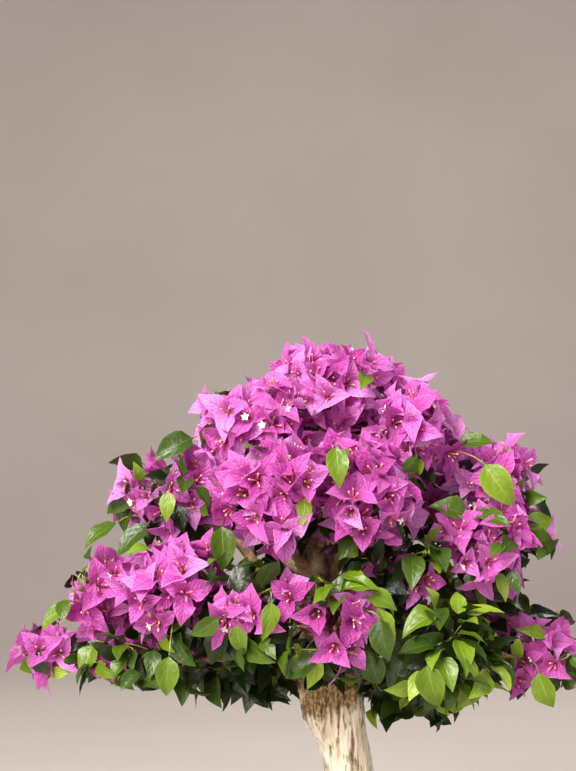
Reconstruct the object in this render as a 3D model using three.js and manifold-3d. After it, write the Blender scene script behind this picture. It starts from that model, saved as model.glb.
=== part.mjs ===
// A flowering bougainvillea bonsai in a plain oval clay pot. Millimetres, +Z up.
// The origin is the middle of the pot's flat underside. The front faces -Y.
import * as THREE from "three";
import { mergeVertices } from "three/addons/utils/BufferGeometryUtils.js";
import Module from "manifold-3d";

const wasm = await Module();
wasm.setup();

// ---------------------------------------------------------------- driving sizes

const CLEARANCE = 0.35; // gap kept between two solids that meet
const SHORTEST_EDGE = 0.05; // shorter edges that a join leaves are collapsed
const SEED = 4021; // every random draw follows from this one number

const POT = {
  length: 370, // along X, over the rim
  width: 280, // along Y, over the rim
  height: 92,
  wall: 11,
  floor: 11,
  rimHeight: 13,
  rimOverhang: 8,
  footInset: 34, // how far the foot of the wall draws in from the rim
  belly: { share: 0.35, inset: 13 }, // up the wall, and in from the wall's top
  shoulder: { below: 8, inset: 1 },
  footCorner: 3,
  rimSlope: 3,
  rimCorner: 2,
  squareness: 2.6, // exponent of the oval: 2 is an ellipse
  sides: 32,
};
const SOIL = { belowRim: 9, mound: 13, moundRadius: 64 };

// The trunk's centre line and radius, from the flat cut at the soil to the upper fork.
const SOIL_TOP = POT.height - SOIL.belowRim + SOIL.mound;
const TRUNK_FOOT_X = 41;
const TRUNK = [
  { x: 44, y: 2, rise: -16, radius: 52 }, // cut off flat at rise 0
  { x: TRUNK_FOOT_X, y: 2, rise: 0, radius: 45 },
  { x: 36, y: 1, rise: 17, radius: 33 },
  { x: 29, y: 0, rise: 50, radius: 27.5 },
  { x: 15, y: 0, rise: 102, radius: 26.5 },
  { x: 6, y: -1, rise: 146, radius: 27 },
  { x: -2, y: 0, rise: 174, radius: 33 },
  { x: -8, y: 2, rise: 197, radius: 36 },
  { x: -12, y: 1, rise: 222, radius: 28 },
  { x: -14, y: 0, rise: 250, radius: 21.5 },
  { x: -14, y: 1, rise: 300, radius: 18 },
];
const TRUNK_MESH = { sides: 14, steps: 18 };
const ROOT_RIDGES = { count: 5, depth: 0.16, fade: 16, turn: 0.6 };
const FLUTES = { count: 3, depth: 0.045, twist: 0.02 };

// Each mass of blossom or foliage fills an ellipsoid: centre (at) and half-axes (reach).
// Its bough leaves a parent limb at a share of that limb's length, with a root radius.
const MASSES = {
  crown_top: { at: [-4, 0, 617], reach: [74, 74, 58], from: ["trunk", 0.97], root: 12 },
  upper_left: { at: [-84, -35, 574], reach: [64, 72, 54], from: ["trunk", 0.955], root: 11 },
  upper_right: { at: [80, -25, 566], reach: [54, 68, 54], from: ["crown_top", 0.34], root: 6.5 },
  mid_left: { at: [-184, 0, 505], reach: [64, 68, 50], from: ["trunk", 0.9], root: 9 },
  centre_front: { at: [-66, -125, 500], reach: [64, 64, 56], from: ["upper_left", 0.28], root: 6.5 },
  centre_front_right: { at: [20, -120, 503], reach: [60, 62, 56], from: ["crown_top", 0.2], root: 6.5 },
  right_upper: { at: [183, 5, 514], reach: [50, 62, 50], from: ["crown_top", 0.08], root: 7.5 },
  right_mid: { at: [160, -58, 446], reach: [64, 62, 48], from: ["right_upper", 0.42], root: 5 },
  left_low: { at: [-165, -82, 404], reach: [66, 66, 50], from: ["trunk", 0.74], root: 8 },
  left_outer: { at: [-258, -20, 386], reach: [62, 64, 52], from: ["trunk", 0.69], root: 10 },
  left_tip: { at: [-312, 0, 328], reach: [52, 56, 44], from: ["left_outer", 0.6], root: 5 },
  left_skirt: { at: [-205, -58, 328], reach: [72, 62, 42], from: ["left_outer", 0.3], root: 5.5 },
  centre_low: { at: [-84, -128, 388], reach: [62, 62, 54], from: ["trunk", 0.8], root: 7 },
  centre_low_right: { at: [-10, -148, 372], reach: [56, 56, 52], from: ["trunk", 0.77], root: 6.5 },
  left_underside: { at: [-102, 2, 312], reach: [60, 64, 40], from: ["left_outer", 0.17], root: 5 },
  right_inner: { at: [72, -64, 415], reach: [58, 60, 54], from: ["trunk", 0.85], root: 6.5 },
  lower_right: { at: [104, -110, 342], reach: [70, 64, 52], from: ["trunk", 0.71], root: 8 },
  right_tip: { at: [230, -15, 322], reach: [56, 62, 50], from: ["right_side", 0.4], root: 5.5 },
  right_side: { at: [182, 36, 380], reach: [62, 66, 50], from: ["trunk", 0.68], root: 9 },
  right_underside: { at: [78, -14, 290], reach: [50, 58, 44], from: ["lower_right", 0.3], root: 5 },
  back_top: { at: [-3, 100, 569], reach: [72, 62, 54], from: ["crown_top", 0.42], root: 6 },
  back_left: { at: [-133, 105, 511], reach: [70, 62, 54], from: ["upper_left", 0.2], root: 7 },
  back_right: { at: [117, 110, 508], reach: [68, 62, 54], from: ["crown_top", 0.14], root: 7 },
  back_centre: { at: [-11, 165, 431], reach: [70, 58, 56], from: ["trunk", 0.87], root: 7 },
  back_left_low: { at: [-178, 112, 368], reach: [77, 66, 50], from: ["trunk", 0.78], root: 8 },
  back_right_low: { at: [137, 122, 347], reach: [73, 66, 50], from: ["trunk", 0.75], root: 8 },
  back_low: { at: [-20, 135, 303], reach: [72, 62, 45], from: ["trunk", 0.65], root: 7 },
};
// The masses that are mostly blossom. The others are mostly leaves.
const IN_BLOSSOM = [
  "crown_top", "upper_left", "upper_right", "mid_left", "centre_front", "centre_front_right",
  "right_upper", "right_mid", "left_low", "left_outer", "left_tip", "centre_low_right",
  "back_top", "back_left", "back_right",
];

// A bough narrows to its taper's share of its root radius, wanders at its bends, and ends where it
// has entered its mass by the entry's share of the reach.
const BOUGH = { taper: 0.46, slimming: 0.8, thinnest: 2.4, entry: 0.62, bends: [0.3, 0.65], wander: 0.14 };
const BOUGH_MESH = { sides: 5, steps: 4 };
// A stem is a little thinner at its start than its bough's tip. past: how far it may run on beyond
// its mass's centre, as shares of the reach: the first that is clear of the limbs.
const STEM = { sides: 4, steps: 3, start: 0.85, end: 3.4, past: [0.35, 0.15, -0.05, -0.25] };
// Radii at a twig's root and neck, the part of the stem that twigs leave, and the least cosine
// between a twig and the way that its bloom or leaf faces.
const TWIG = { root: 2, tip: 1.4, from: 0.25, along: 0.7, leastLead: 0.2 };
const BLOOM = { length: 37, notch: 0.56, cup: 0.45, thickness: 2.6 };
const LEAF = { length: 56, width: 38, widest: 0.42, thickness: 1.6, fold: 0.12, curl: 0.2 };
const SPREAD = 1.2; // how far past its reach a mass may hold a leaf's tip
// How far out a bloom or leaf may end, as a share of the reach, and its size: the first that fits.
const FITS = [
  { share: 1.06, size: 1 },
  { share: 0.92, size: 1 },
  { share: 1, size: 0.78 },
  { share: 0.8, size: 0.78 },
  { share: 0.62, size: 0.7 },
];
// Directions tried, twigs kept at most, how far each faces down, how far the neck lies behind the
// tip, and how far each may roll about the way that it faces, as a share of a full turn.
const IN_BLOOM = { tries: 60, most: 8, hang: 0.05, behind: 17, roll: 1 };
const IN_LEAF = { tries: 60, most: 10, hang: 0.4, behind: 50, roll: 0.2 };
const GOLDEN = { angle: 2.39996, share: 0.618, stride: 7, stray: 0.7 }; // spreads twigs evenly

const COLOURS = {
  bract: new THREE.MeshStandardMaterial({ color: "#c2499f", roughness: 0.6, side: THREE.DoubleSide }),
  leaf: new THREE.MeshStandardMaterial({ color: "#5d7c26", roughness: 0.45 }),
  bark: new THREE.MeshStandardMaterial({ color: "#a58e6b", roughness: 0.85 }),
  clay: new THREE.MeshStandardMaterial({ color: "#5b4a42", roughness: 0.7 }),
  soil: new THREE.MeshStandardMaterial({ color: "#3a2d22", roughness: 1 }),
};

// ---------------------------------------------------------------- solids

// A repeatable stream of numbers from 0 to 1.
function seeded(seed) {
  let state = (seed % 2147483646) + 1;
  return () => {
    state = (state * 48271) % 2147483647;
    return state / 2147483647;
  };
}

// A closed three.js geometry as a solid that can be joined and cut.
function solid(geometry) {
  const bare = geometry.clone();
  bare.deleteAttribute("normal");
  bare.deleteAttribute("uv");
  const merged = mergeVertices(bare, 1e-4);
  const triVerts = [];
  for (let i = 0; i < merged.index.count; i += 3) {
    const face = [0, 1, 2].map((k) => merged.index.getX(i + k));
    if (new Set(face).size === 3) triVerts.push(...face); // a face whose corners have met is dropped
  }
  const made = new wasm.Manifold(
    new wasm.Mesh({
      numProp: 3,
      vertProperties: new Float32Array(merged.attributes.position.array),
      triVerts: new Uint32Array(triVerts),
    }),
  );
  if (made.volume() < 0) throw new Error("a geometry is inside out");
  return made;
}

// The largest body of a solid: a loose scrap that a cut leaves is dropped.
function largest(body) {
  return body.decompose().reduce((a, b) => (b.volume() > a.volume() ? b : a));
}

function meshOf(name, body, material) {
  const { vertProperties, triVerts } = body.getMesh();
  const geometry = new THREE.BufferGeometry();
  geometry.setAttribute("position", new THREE.BufferAttribute(new Float32Array(vertProperties), 3));
  geometry.setIndex(new THREE.BufferAttribute(new Uint32Array(triVerts), 1));
  geometry.computeVertexNormals();
  const mesh = new THREE.Mesh(geometry, material);
  mesh.name = name;
  return mesh;
}

// A closed tapering limb: a cylinder whose rings are carried along a curve.
// radiusAt(share, angle) gives the radius; grow makes it thicker, and longer at its tip.
function limb(curve, radiusAt, sides, steps, grow = 0) {
  const geometry = new THREE.CylinderGeometry(1, 1, 1, sides, steps);
  const frames = curve.computeFrenetFrames(steps);
  const position = geometry.attributes.position;
  for (let i = 0; i < position.count; i++) {
    const step = Math.round((position.getY(i) + 0.5) * steps);
    const share = step / steps;
    const outward = Math.hypot(position.getX(i), position.getZ(i));
    const angle = Math.atan2(position.getX(i), position.getZ(i));
    const radius = (radiusAt(share, angle) + grow) * outward;
    const point = curve.getPointAt(share);
    if (step === steps) point.addScaledVector(frames.tangents[step], grow);
    point.addScaledVector(frames.normals[step], Math.cos(angle) * radius);
    point.addScaledVector(frames.binormals[step], Math.sin(angle) * radius);
    position.setXYZ(i, point.x, point.y, point.z);
  }
  return solid(geometry);
}

// Two unit vectors square to a direction, the first as near as it can be to a wanted side.
function across(direction, side) {
  const first = side.clone().addScaledVector(direction, -side.dot(direction)).normalize();
  return [first, new THREE.Vector3().crossVectors(direction, first)];
}

// The angle of a ring's corner, moved to the nearest corner of a three-sided twig.
const THIRD = (2 * Math.PI) / 3;
const BORDER = 0.01; // keeps a corner on the border of two thirds in the later one
const threeSided = (angle) =>
  (Math.floor((angle + Math.PI) / THIRD + BORDER) + 1 / 4) * THIRD - Math.PI;

// A three-sided twig that opens into a bloom of three pointed bracts, cupped about the way that it
// faces. Its rings are the root, the neck and the bracts' rim, which runs out to three tips.
function bloomTwig({ root, neck, facing, side, size }) {
  const geometry = new THREE.CylinderGeometry(1, 1, 1, 6, 2);
  const position = geometry.attributes.position;
  const rootAxes = across(neck.clone().sub(root).normalize(), side);
  const faceAxes = across(facing, side);
  for (let i = 0; i < position.count; i++) {
    const ring = Math.round((position.getY(i) + 0.5) * 2);
    const onRing = Math.hypot(position.getX(i), position.getZ(i)) > 0.5;
    const angle = Math.atan2(position.getX(i), position.getZ(i));
    const rim = size * BLOOM.length * (Math.cos(3 * angle) > 0 ? 1 : BLOOM.notch);
    const radius = onRing ? [TWIG.root, TWIG.tip, rim][ring] : 0;
    const turn = ring < 2 ? threeSided(angle) : angle;
    const axes = ring === 0 ? rootAxes : faceAxes;
    const point = (ring === 0 ? root : neck).clone();
    point.addScaledVector(axes[0], Math.cos(turn) * radius).addScaledVector(axes[1], Math.sin(turn) * radius);
    if (ring === 2) point.addScaledVector(facing, onRing ? BLOOM.cup * rim : BLOOM.thickness);
    position.setXYZ(i, point.x, point.y, point.z);
  }
  return geometry;
}

// A three-sided twig that ends in a leaf, folded along its midrib and curled down at its tip. Its
// rings are the root, the leaf's stalk and its widest place, and it closes to a point. The quads
// from the stalk to the widest place are split the other way in its first half, to mirror the second.
const BLADE = { firstHalf: [0, 3], column: 15, tip: 3 }; // columns, and corners listed in the index
function leafTwig({ root, neck, facing, side, size }) {
  const geometry = new THREE.CylinderGeometry(0, 1, 1, 4, 3);
  const position = geometry.attributes.position;
  const rootAxes = across(neck.clone().sub(root).normalize(), side);
  const [edge, top] = across(facing, side);
  for (let i = 0; i < position.count; i++) {
    const ring = Math.round((position.getY(i) + 0.5) * 3);
    const onRing = Math.hypot(position.getX(i), position.getZ(i)) > 1e-6;
    const angle = Math.atan2(position.getX(i), position.getZ(i));
    const turn = ring < 2 ? threeSided(angle) : angle;
    const [toEdge, toTop] = onRing ? [Math.cos(turn), Math.sin(turn)] : [0, 0];
    const point = (ring === 0 ? root : neck).clone();
    if (ring === 0) {
      point.addScaledVector(rootAxes[0], toEdge * TWIG.root).addScaledVector(rootAxes[1], toTop * TWIG.root);
    } else if (ring === 1) {
      point.addScaledVector(edge, toEdge * TWIG.tip).addScaledVector(top, toTop * TWIG.tip);
    } else if (ring === 2) {
      point.addScaledVector(facing, LEAF.widest * size * LEAF.length);
      point.addScaledVector(edge, (toEdge * size * LEAF.width) / 2);
      if (Math.abs(toTop) > 0.5) {
        point.addScaledVector(top, (toTop * LEAF.thickness) / 2 - LEAF.fold * size * LEAF.width);
      }
    } else {
      point.addScaledVector(facing, size * LEAF.length).addScaledVector(top, -LEAF.curl * size * LEAF.length);
    }
    position.setXYZ(i, point.x, point.y, point.z);
  }
  for (const column of BLADE.firstHalf) {
    const quad = column * BLADE.column + BLADE.tip; // listed as a, b, d, b, c, d
    geometry.index.setX(quad + 2, geometry.index.getX(quad + 4));
    geometry.index.setX(quad + 3, geometry.index.getX(quad));
  }
  return geometry;
}

// ---------------------------------------------------------------- pot and soil

// A point on the pot's oval outline, drawn in from the rim's own outline by inset.
function ovalPoint(angle, inset, power = POT.squareness) {
  const round = (value) => Math.sign(value) * Math.abs(value) ** (2 / power);
  return [
    (POT.length / 2 - inset) * round(Math.cos(angle)),
    (POT.width / 2 - inset) * round(Math.sin(angle)),
  ];
}

// A lofted oval body: rings of {z, inset} from the bottom up, closed flat at both ends.
function ovalLoft(rings) {
  const geometry = new THREE.CylinderGeometry(1, 1, 1, POT.sides, rings.length - 1);
  geometry.rotateX(Math.PI / 2);
  const position = geometry.attributes.position;
  for (let i = 0; i < position.count; i++) {
    const ring = rings[Math.round((position.getZ(i) + 0.5) * (rings.length - 1))];
    const outward = Math.hypot(position.getX(i), position.getY(i)) > 0.5;
    const angle = Math.atan2(position.getY(i), position.getX(i));
    const [x, y] = outward ? ovalPoint(angle, ring.inset) : [0, 0];
    position.setXYZ(i, x, y, ring.z);
  }
  return solid(geometry);
}

const LIP = POT.height - POT.rimHeight;
const INNER_TOP_INSET = POT.rimOverhang + POT.wall;
const INNER_FOOT_INSET = POT.footInset + POT.wall;

// The pot: an oval bowl with a flat underside and a rolled rim.
function pot() {
  const wall = ovalLoft([
    { z: 0, inset: POT.footInset + POT.footCorner },
    { z: POT.footCorner, inset: POT.footInset },
    { z: POT.belly.share * LIP, inset: POT.rimOverhang + POT.belly.inset },
    { z: LIP - POT.shoulder.below, inset: POT.rimOverhang + POT.shoulder.inset },
    { z: LIP, inset: POT.rimOverhang },
    { z: LIP + POT.rimSlope, inset: 0 },
    { z: POT.height - POT.rimCorner, inset: 0 },
    { z: POT.height, inset: POT.rimCorner },
  ]);
  const hollow = ovalLoft([
    { z: POT.floor, inset: INNER_FOOT_INSET },
    { z: POT.height + 1, inset: INNER_TOP_INSET },
  ]);
  return largest(wall.subtract(hollow));
}

// The root ball: it fills the pot and rises to a mound with a flat top round the trunk's foot.
function soil() {
  const rim = POT.height - SOIL.belowRim;
  const gap = CLEARANCE;
  const cavity = (z) =>
    THREE.MathUtils.mapLinear(z, POT.floor, POT.height + 1, INNER_FOOT_INSET, INNER_TOP_INSET);
  const low = POT.floor + gap;
  const geometry = new THREE.CylinderGeometry(1, 1, 1, POT.sides, 4);
  geometry.rotateX(Math.PI / 2);
  const position = geometry.attributes.position;
  for (let i = 0; i < position.count; i++) {
    const ring = Math.round((position.getZ(i) + 0.5) * 4);
    const outward = Math.hypot(position.getX(i), position.getY(i)) > 0.5;
    const angle = Math.atan2(position.getY(i), position.getX(i));
    const edge = ring === 0 ? ovalPoint(angle, cavity(low) + gap) : ovalPoint(angle, cavity(rim) + gap);
    const flat = [
      TRUNK_FOOT_X + SOIL.moundRadius * Math.cos(angle),
      SOIL.moundRadius * Math.sin(angle),
    ];
    const share = [0, 0, 0.4, 0.8, 1][ring]; // from the wall to the mound's flat top
    const lift = share * share * (3 - 2 * share);
    const spot = edge.map((value, axis) => value + (flat[axis] - value) * share);
    const [x, y] = outward ? spot : ring === 0 ? [0, 0] : [TRUNK_FOOT_X, 0];
    position.setXYZ(i, x, y, ring === 0 ? low : rim + lift * SOIL.mound);
  }
  return solid(geometry);
}

// ---------------------------------------------------------------- trunk and boughs

const trunkCurve = new THREE.CatmullRomCurve3(
  TRUNK.map(({ x, y, rise }) => new THREE.Vector3(x, y, SOIL_TOP + CLEARANCE + rise)),
);

// The trunk's radius: it follows the table by height, and swells into root ridges near the soil.
function trunkRadius(share, angle) {
  const rise = trunkCurve.getPointAt(share).z - SOIL_TOP - CLEARANCE;
  const above = Math.max(1, TRUNK.findIndex((ring) => ring.rise >= rise - 1e-6));
  const [a, b] = [TRUNK[above - 1], TRUNK[above]];
  const part = THREE.MathUtils.clamp((rise - a.rise) / (b.rise - a.rise), 0, 1);
  const even = a.radius + (b.radius - a.radius) * part;
  const fading = ROOT_RIDGES.depth * Math.exp(-rise / ROOT_RIDGES.fade);
  const ridges = fading * Math.cos(ROOT_RIDGES.count * angle + ROOT_RIDGES.turn);
  const flutes = FLUTES.depth * Math.cos(FLUTES.count * angle + FLUTES.twist * rise);
  return even * (1 + ridges + flutes);
}

const limbs = { trunk: { curve: trunkCurve, radiusAt: trunkRadius, ...TRUNK_MESH } };

// The bough to a mass: it leaves its parent, wanders a little and ends where it enters the mass.
function bough(name, index) {
  const { at, reach, from, root } = MASSES[name];
  const random = seeded(SEED + 17 * index);
  const parent = limbs[from[0]];
  const start = parent.curve.getPointAt(from[1]);
  const centre = new THREE.Vector3(...at);
  const way = centre.clone().sub(start);
  const ray = way.clone().divide(new THREE.Vector3(...reach)).length();
  const end = centre.clone().addScaledVector(way, -BOUGH.entry / ray);
  const span = end.clone().sub(start);
  const length = span.length();
  const points = [start];
  for (const share of BOUGH.bends) {
    const stray = new THREE.Vector3(random() - 0.5, random() - 0.5, random() - 0.2);
    points.push(start.clone().addScaledVector(span, share).addScaledVector(stray, BOUGH.wander * length));
  }
  points.push(end);
  const tip = Math.max(BOUGH.thinnest, root * BOUGH.taper);
  return {
    curve: new THREE.CatmullRomCurve3(points),
    radiusAt: (share) => root + (tip - root) * share ** BOUGH.slimming,
    ...BOUGH_MESH,
    tip,
  };
}

// Parents come before the boughs that leave them.
const order = Object.keys(MASSES);
order.sort((a, b) => depth(a) - depth(b));
function depth(name) {
  return name === "trunk" ? 0 : 1 + depth(MASSES[name].from[0]);
}
order.forEach((name) => {
  limbs[name] = bough(name, Object.keys(MASSES).indexOf(name));
});

const shape = ({ curve, radiusAt, sides, steps }, grow) => limb(curve, radiusAt, sides, steps, grow);
const ground = new THREE.BoxGeometry(4 * SOIL.moundRadius, 4 * SOIL.moundRadius, SOIL_TOP);
ground.translate(TRUNK_FOOT_X, 0, SOIL_TOP / 2 + CLEARANCE);
const limbSolids = { trunk: shape(limbs.trunk, 0).subtract(solid(ground)) };
let limbsAndGap = shape(limbs.trunk, CLEARANCE);
for (const name of order) {
  limbSolids[name] = largest(shape(limbs[name], 0).subtract(limbsAndGap));
  limbsAndGap = limbsAndGap.add(shape(limbs[name], CLEARANCE));
}

// ---------------------------------------------------------------- masses of blossom and leaves

const meanReach = ([x, y, z]) => (x + y + z) / 3;

// A mass keeps to its own space: nearer to its centre than to any other's, by their sizes.
function inSpace(name, point) {
  const { at, reach } = MASSES[name];
  const power = (other) =>
    point.distanceToSquared(new THREE.Vector3(...MASSES[other].at)) - meanReach(MASSES[other].reach) ** 2;
  const own = power(name);
  const centre = new THREE.Vector3(...at);
  if (point.clone().sub(centre).divide(new THREE.Vector3(...reach)).length() > SPREAD) return false;
  return order.every((other) => {
    if (other === name) return true;
    const apart = centre.distanceTo(new THREE.Vector3(...MASSES[other].at));
    return power(other) - own > 2 * CLEARANCE * apart;
  });
}

const meet = (a, b) => !a.intersect(b).isEmpty();

// The corners of a geometry, as points.
function corners({ attributes: { position } }) {
  const corner = (_, i) => new THREE.Vector3().fromBufferAttribute(position, i);
  return Array.from({ length: position.count }, corner);
}

// A mass: a stem from its bough's tip, and twigs to places spread evenly over its reach, each with
// a bloom or a leaf. What would leave the mass's space, touch a limb or another leaf, or close a
// loop with another twig, is skipped.
function mass(name, index) {
  const random = seeded(SEED + 101 * index + 7);
  const { at, reach } = MASSES[name];
  const centre = new THREE.Vector3(...at);
  const { curve, tip } = limbs[name];
  const heading = curve.getTangentAt(1);
  const start = curve.getPointAt(1).addScaledVector(heading, 1.2 * CLEARANCE);
  const thin = (share) => THREE.MathUtils.lerp(STEM.start * tip, STEM.end, share);
  const stems = STEM.past.map((past) => {
    const hub = centre.clone().addScaledVector(heading, past * meanReach(reach));
    const bend = start.clone().addScaledVector(heading, 0.5 * start.distanceTo(hub));
    const path = new THREE.QuadraticBezierCurve3(start, bend, hub);
    return { path, stem: limb(path, thin, STEM.sides, STEM.steps) };
  });
  const { path, stem } = stems.find((one) => !meet(one.stem, limbsAndGap));
  const blossom = IN_BLOSSOM.includes(name);
  const { tries, most, hang, behind, roll } = blossom ? IN_BLOOM : IN_LEAF;
  const shapeTwig = blossom ? bloomTwig : leafTwig;
  const twigs = [];
  let joined = stem;
  for (let k = 0; k < tries && twigs.length < most; k++) {
    const level = 1 - (2 * ((k * GOLDEN.stride) % tries) + 1) / tries;
    const round = k * GOLDEN.angle + GOLDEN.stray * random();
    const ring = Math.sqrt(1 - level * level);
    const outward = new THREE.Vector3(Math.cos(round) * ring, Math.sin(round) * ring, level);
    const root = path.getPointAt(TWIG.from + TWIG.along * ((k * GOLDEN.share) % 1));
    const turn = 2 * Math.PI * (random() - 0.5) * roll;
    const facing = new THREE.Vector3(outward.x, outward.y, outward.z - hang).normalize();
    const flat = new THREE.Vector3(0, 0, 1).cross(facing).normalize();
    const side = flat.applyAxisAngle(facing, turn);
    for (const { share, size } of FITS) {
      const neck = centre.clone().add(new THREE.Vector3(...reach).multiply(outward).multiplyScalar(share));
      neck.addScaledVector(facing, -size * behind);
      if (neck.clone().sub(root).normalize().dot(facing) < TWIG.leastLead) continue;
      const geometry = shapeTwig({ root, neck, facing, side, size });
      if (!corners(geometry).every((corner) => inSpace(name, corner))) continue;
      const whole = solid(geometry);
      const stub = neck.clone().addScaledVector(facing, -2 * TWIG.root);
      const blade = solid(shapeTwig({ root: stub, neck, facing, side, size }));
      if (meet(whole, limbsAndGap)) continue;
      if (twigs.some((other) => meet(blade, other.whole) || meet(whole, other.blade))) continue;
      const grown = joined.add(whole).simplify(SHORTEST_EDGE);
      if (grown.genus() !== 0 || grown.decompose().length > 1) continue; // no loop, no loose twig
      joined = grown;
      twigs.push({ whole, blade });
      break;
    }
  }
  return joined;
}

// ---------------------------------------------------------------- assembly

const tree = new THREE.Group();
tree.add(meshOf("pot", pot(), COLOURS.clay));
tree.add(meshOf("soil", soil(), COLOURS.soil));
tree.add(meshOf("trunk", limbSolids.trunk, COLOURS.bark));
order.forEach((name) => {
  const index = Object.keys(MASSES).indexOf(name);
  const kind = IN_BLOSSOM.includes(name) ? "blossom" : "leaves";
  tree.add(meshOf(`bough_${name}`, limbSolids[name], COLOURS.bark));
  tree.add(meshOf(`${kind}_${name}`, mass(name, index), COLOURS[kind === "blossom" ? "bract" : "leaf"]));
});

export default tree;
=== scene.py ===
"""A flowering bougainvillea bonsai in a plain oval clay pot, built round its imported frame.

Metres, +Z up, the front facing -Y. The origin is the middle of the pot's flat underside.
"""

import math

import bmesh
import bpy
import numpy as np
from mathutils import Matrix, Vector, noise


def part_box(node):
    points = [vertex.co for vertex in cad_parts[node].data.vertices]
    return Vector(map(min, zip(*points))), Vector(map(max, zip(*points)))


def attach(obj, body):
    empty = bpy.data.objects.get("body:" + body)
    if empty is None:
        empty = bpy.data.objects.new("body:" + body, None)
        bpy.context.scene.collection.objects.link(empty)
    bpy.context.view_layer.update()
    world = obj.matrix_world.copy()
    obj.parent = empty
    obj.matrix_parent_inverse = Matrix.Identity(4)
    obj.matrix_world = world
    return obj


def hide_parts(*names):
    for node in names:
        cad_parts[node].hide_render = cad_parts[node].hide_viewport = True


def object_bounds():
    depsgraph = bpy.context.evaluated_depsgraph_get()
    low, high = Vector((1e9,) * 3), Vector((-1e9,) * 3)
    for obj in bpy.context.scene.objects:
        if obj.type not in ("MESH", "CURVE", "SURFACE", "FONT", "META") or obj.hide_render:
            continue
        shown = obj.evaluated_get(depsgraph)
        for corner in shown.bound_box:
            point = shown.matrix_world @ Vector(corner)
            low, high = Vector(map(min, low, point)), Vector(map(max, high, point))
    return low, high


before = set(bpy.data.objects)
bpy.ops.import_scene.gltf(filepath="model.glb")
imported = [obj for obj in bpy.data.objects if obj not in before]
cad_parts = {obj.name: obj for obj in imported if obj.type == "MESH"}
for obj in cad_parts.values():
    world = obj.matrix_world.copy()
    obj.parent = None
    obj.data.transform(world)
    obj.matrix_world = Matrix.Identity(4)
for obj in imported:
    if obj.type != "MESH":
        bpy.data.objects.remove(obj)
cad_low, cad_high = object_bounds()

# ---------------------------------------------------------------- camera
# The tree is seen square from the front, from a little under the crown's middle.
# The lens looks slightly upwards, which leaves clear space over the crown.
FOCAL_LENGTH = 72.16  # millimetres
LENS_PLANE = 1.7  # metres from the lens to the trunk
LENS_ACROSS = -0.0517
LENS_HEIGHT = 0.5
AIM_HEIGHT = 0.6235
scene = bpy.context.scene
camera = bpy.data.objects.new("camera", bpy.data.cameras.new("camera"))
camera.data.lens = FOCAL_LENGTH
camera.location = (LENS_ACROSS, -LENS_PLANE, LENS_HEIGHT)
aim = Vector((LENS_ACROSS, 0.0, AIM_HEIGHT))
camera.rotation_euler = (aim - camera.location).to_track_quat("-Z", "Y").to_euler()
scene.collection.objects.link(camera)
scene.camera = camera

# ---------------------------------------------------------------- floor and light
# A pale floor that curves up into a wall all round, so that it has no edge behind the tree.
# One broad lamp stands high to the front left, and weak ones lift the trunk, right, back and wall.


def colour(code):
    """The linear colour of a web colour such as "#a0b0c0"."""
    parts = [int(code[i : i + 2], 16) / 255 for i in (1, 3, 5)]
    return (*(c / 12.92 if c <= 0.04045 else ((c + 0.055) / 1.055) ** 2.4 for c in parts), 1)


def finish(name, **sockets):
    """A new node material and its shader, with the shader's plain sockets set."""
    made = bpy.data.materials.new(name)
    made.use_nodes = True
    shader = made.node_tree.nodes["Principled BSDF"]
    for socket, value in sockets.items():
        shader.inputs[socket.replace("_", " ")].default_value = value
    return made, shader


def node(material, kind, inputs=(), **settings):
    """A node added to a material. inputs are pairs of socket and value, or socket and link."""
    made = material.node_tree.nodes.new(kind)
    for name, value in settings.items():
        setattr(made, name, value)
    for socket, value in inputs:
        if isinstance(value, bpy.types.NodeSocket):
            material.node_tree.links.new(value, made.inputs[socket])
        else:
            made.inputs[socket].default_value = value
    return made


def ramp(material, source, *stops):
    """Colours along a value: stops are pairs of place and web colour."""
    made = node(material, "ShaderNodeValToRGB", [("Fac", source)])
    elements = made.color_ramp.elements
    while len(elements) < len(stops):
        elements.new(0.5)
    for element, (place, code) in zip(elements, stops):
        element.position = place
        element.color = colour(code)
    return made.outputs["Color"]


def grain(material, scale, detail=4.0, stretch=(1, 1, 1), kind="ShaderNodeTexNoise"):
    """A noise or cell pattern fixed to the piece's own coordinates, at so many to a metre."""
    place = node(material, "ShaderNodeTexCoord").outputs["Object"]
    turned = node(material, "ShaderNodeMapping", [("Vector", place), ("Scale", stretch)])
    made = node(material, kind, [("Vector", turned.outputs["Vector"]), ("Scale", scale)])
    if kind == "ShaderNodeTexNoise":
        made.inputs["Detail"].default_value = detail
        return made.outputs["Fac"]
    return made.outputs["Distance"]


def join_colours(material, share, first, second, mode="MIX"):
    """One colour laid over another by a share. Each may be a value or a link."""
    made = node(material, "ShaderNodeMix", data_type="RGBA", blend_type=mode)
    links = material.node_tree.links
    for index, value in ((0, share), (6, first), (7, second)):
        if isinstance(value, bpy.types.NodeSocket):
            links.new(value, made.inputs[index])
        else:
            made.inputs[index].default_value = value
    return made.outputs[2]


def coloured(material, shader, tint, rough=None, bumps=()):
    """Links a colour, a roughness and bumps (height, depth in metres) to a shader."""
    links = material.node_tree.links
    links.new(tint, shader.inputs["Base Color"])
    if rough is not None:
        links.new(rough, shader.inputs["Roughness"])
    relief = None
    for height, depth in bumps:
        made = node(material, "ShaderNodeBump", [("Height", height), ("Distance", depth)])
        if relief is not None:
            links.new(relief, made.inputs["Normal"])
        relief = made.outputs["Normal"]
    if relief is not None:
        links.new(relief, shader.inputs["Normal"])


def between(material, source, low, high, start=0.0, end=1.0):
    """A value that goes from low to high while its source goes from start to end."""
    ends = [("From Min", start), ("From Max", end), ("To Min", low), ("To Max", high)]
    return node(material, "ShaderNodeMapRange", [("Value", source), *ends]).outputs["Result"]


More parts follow.
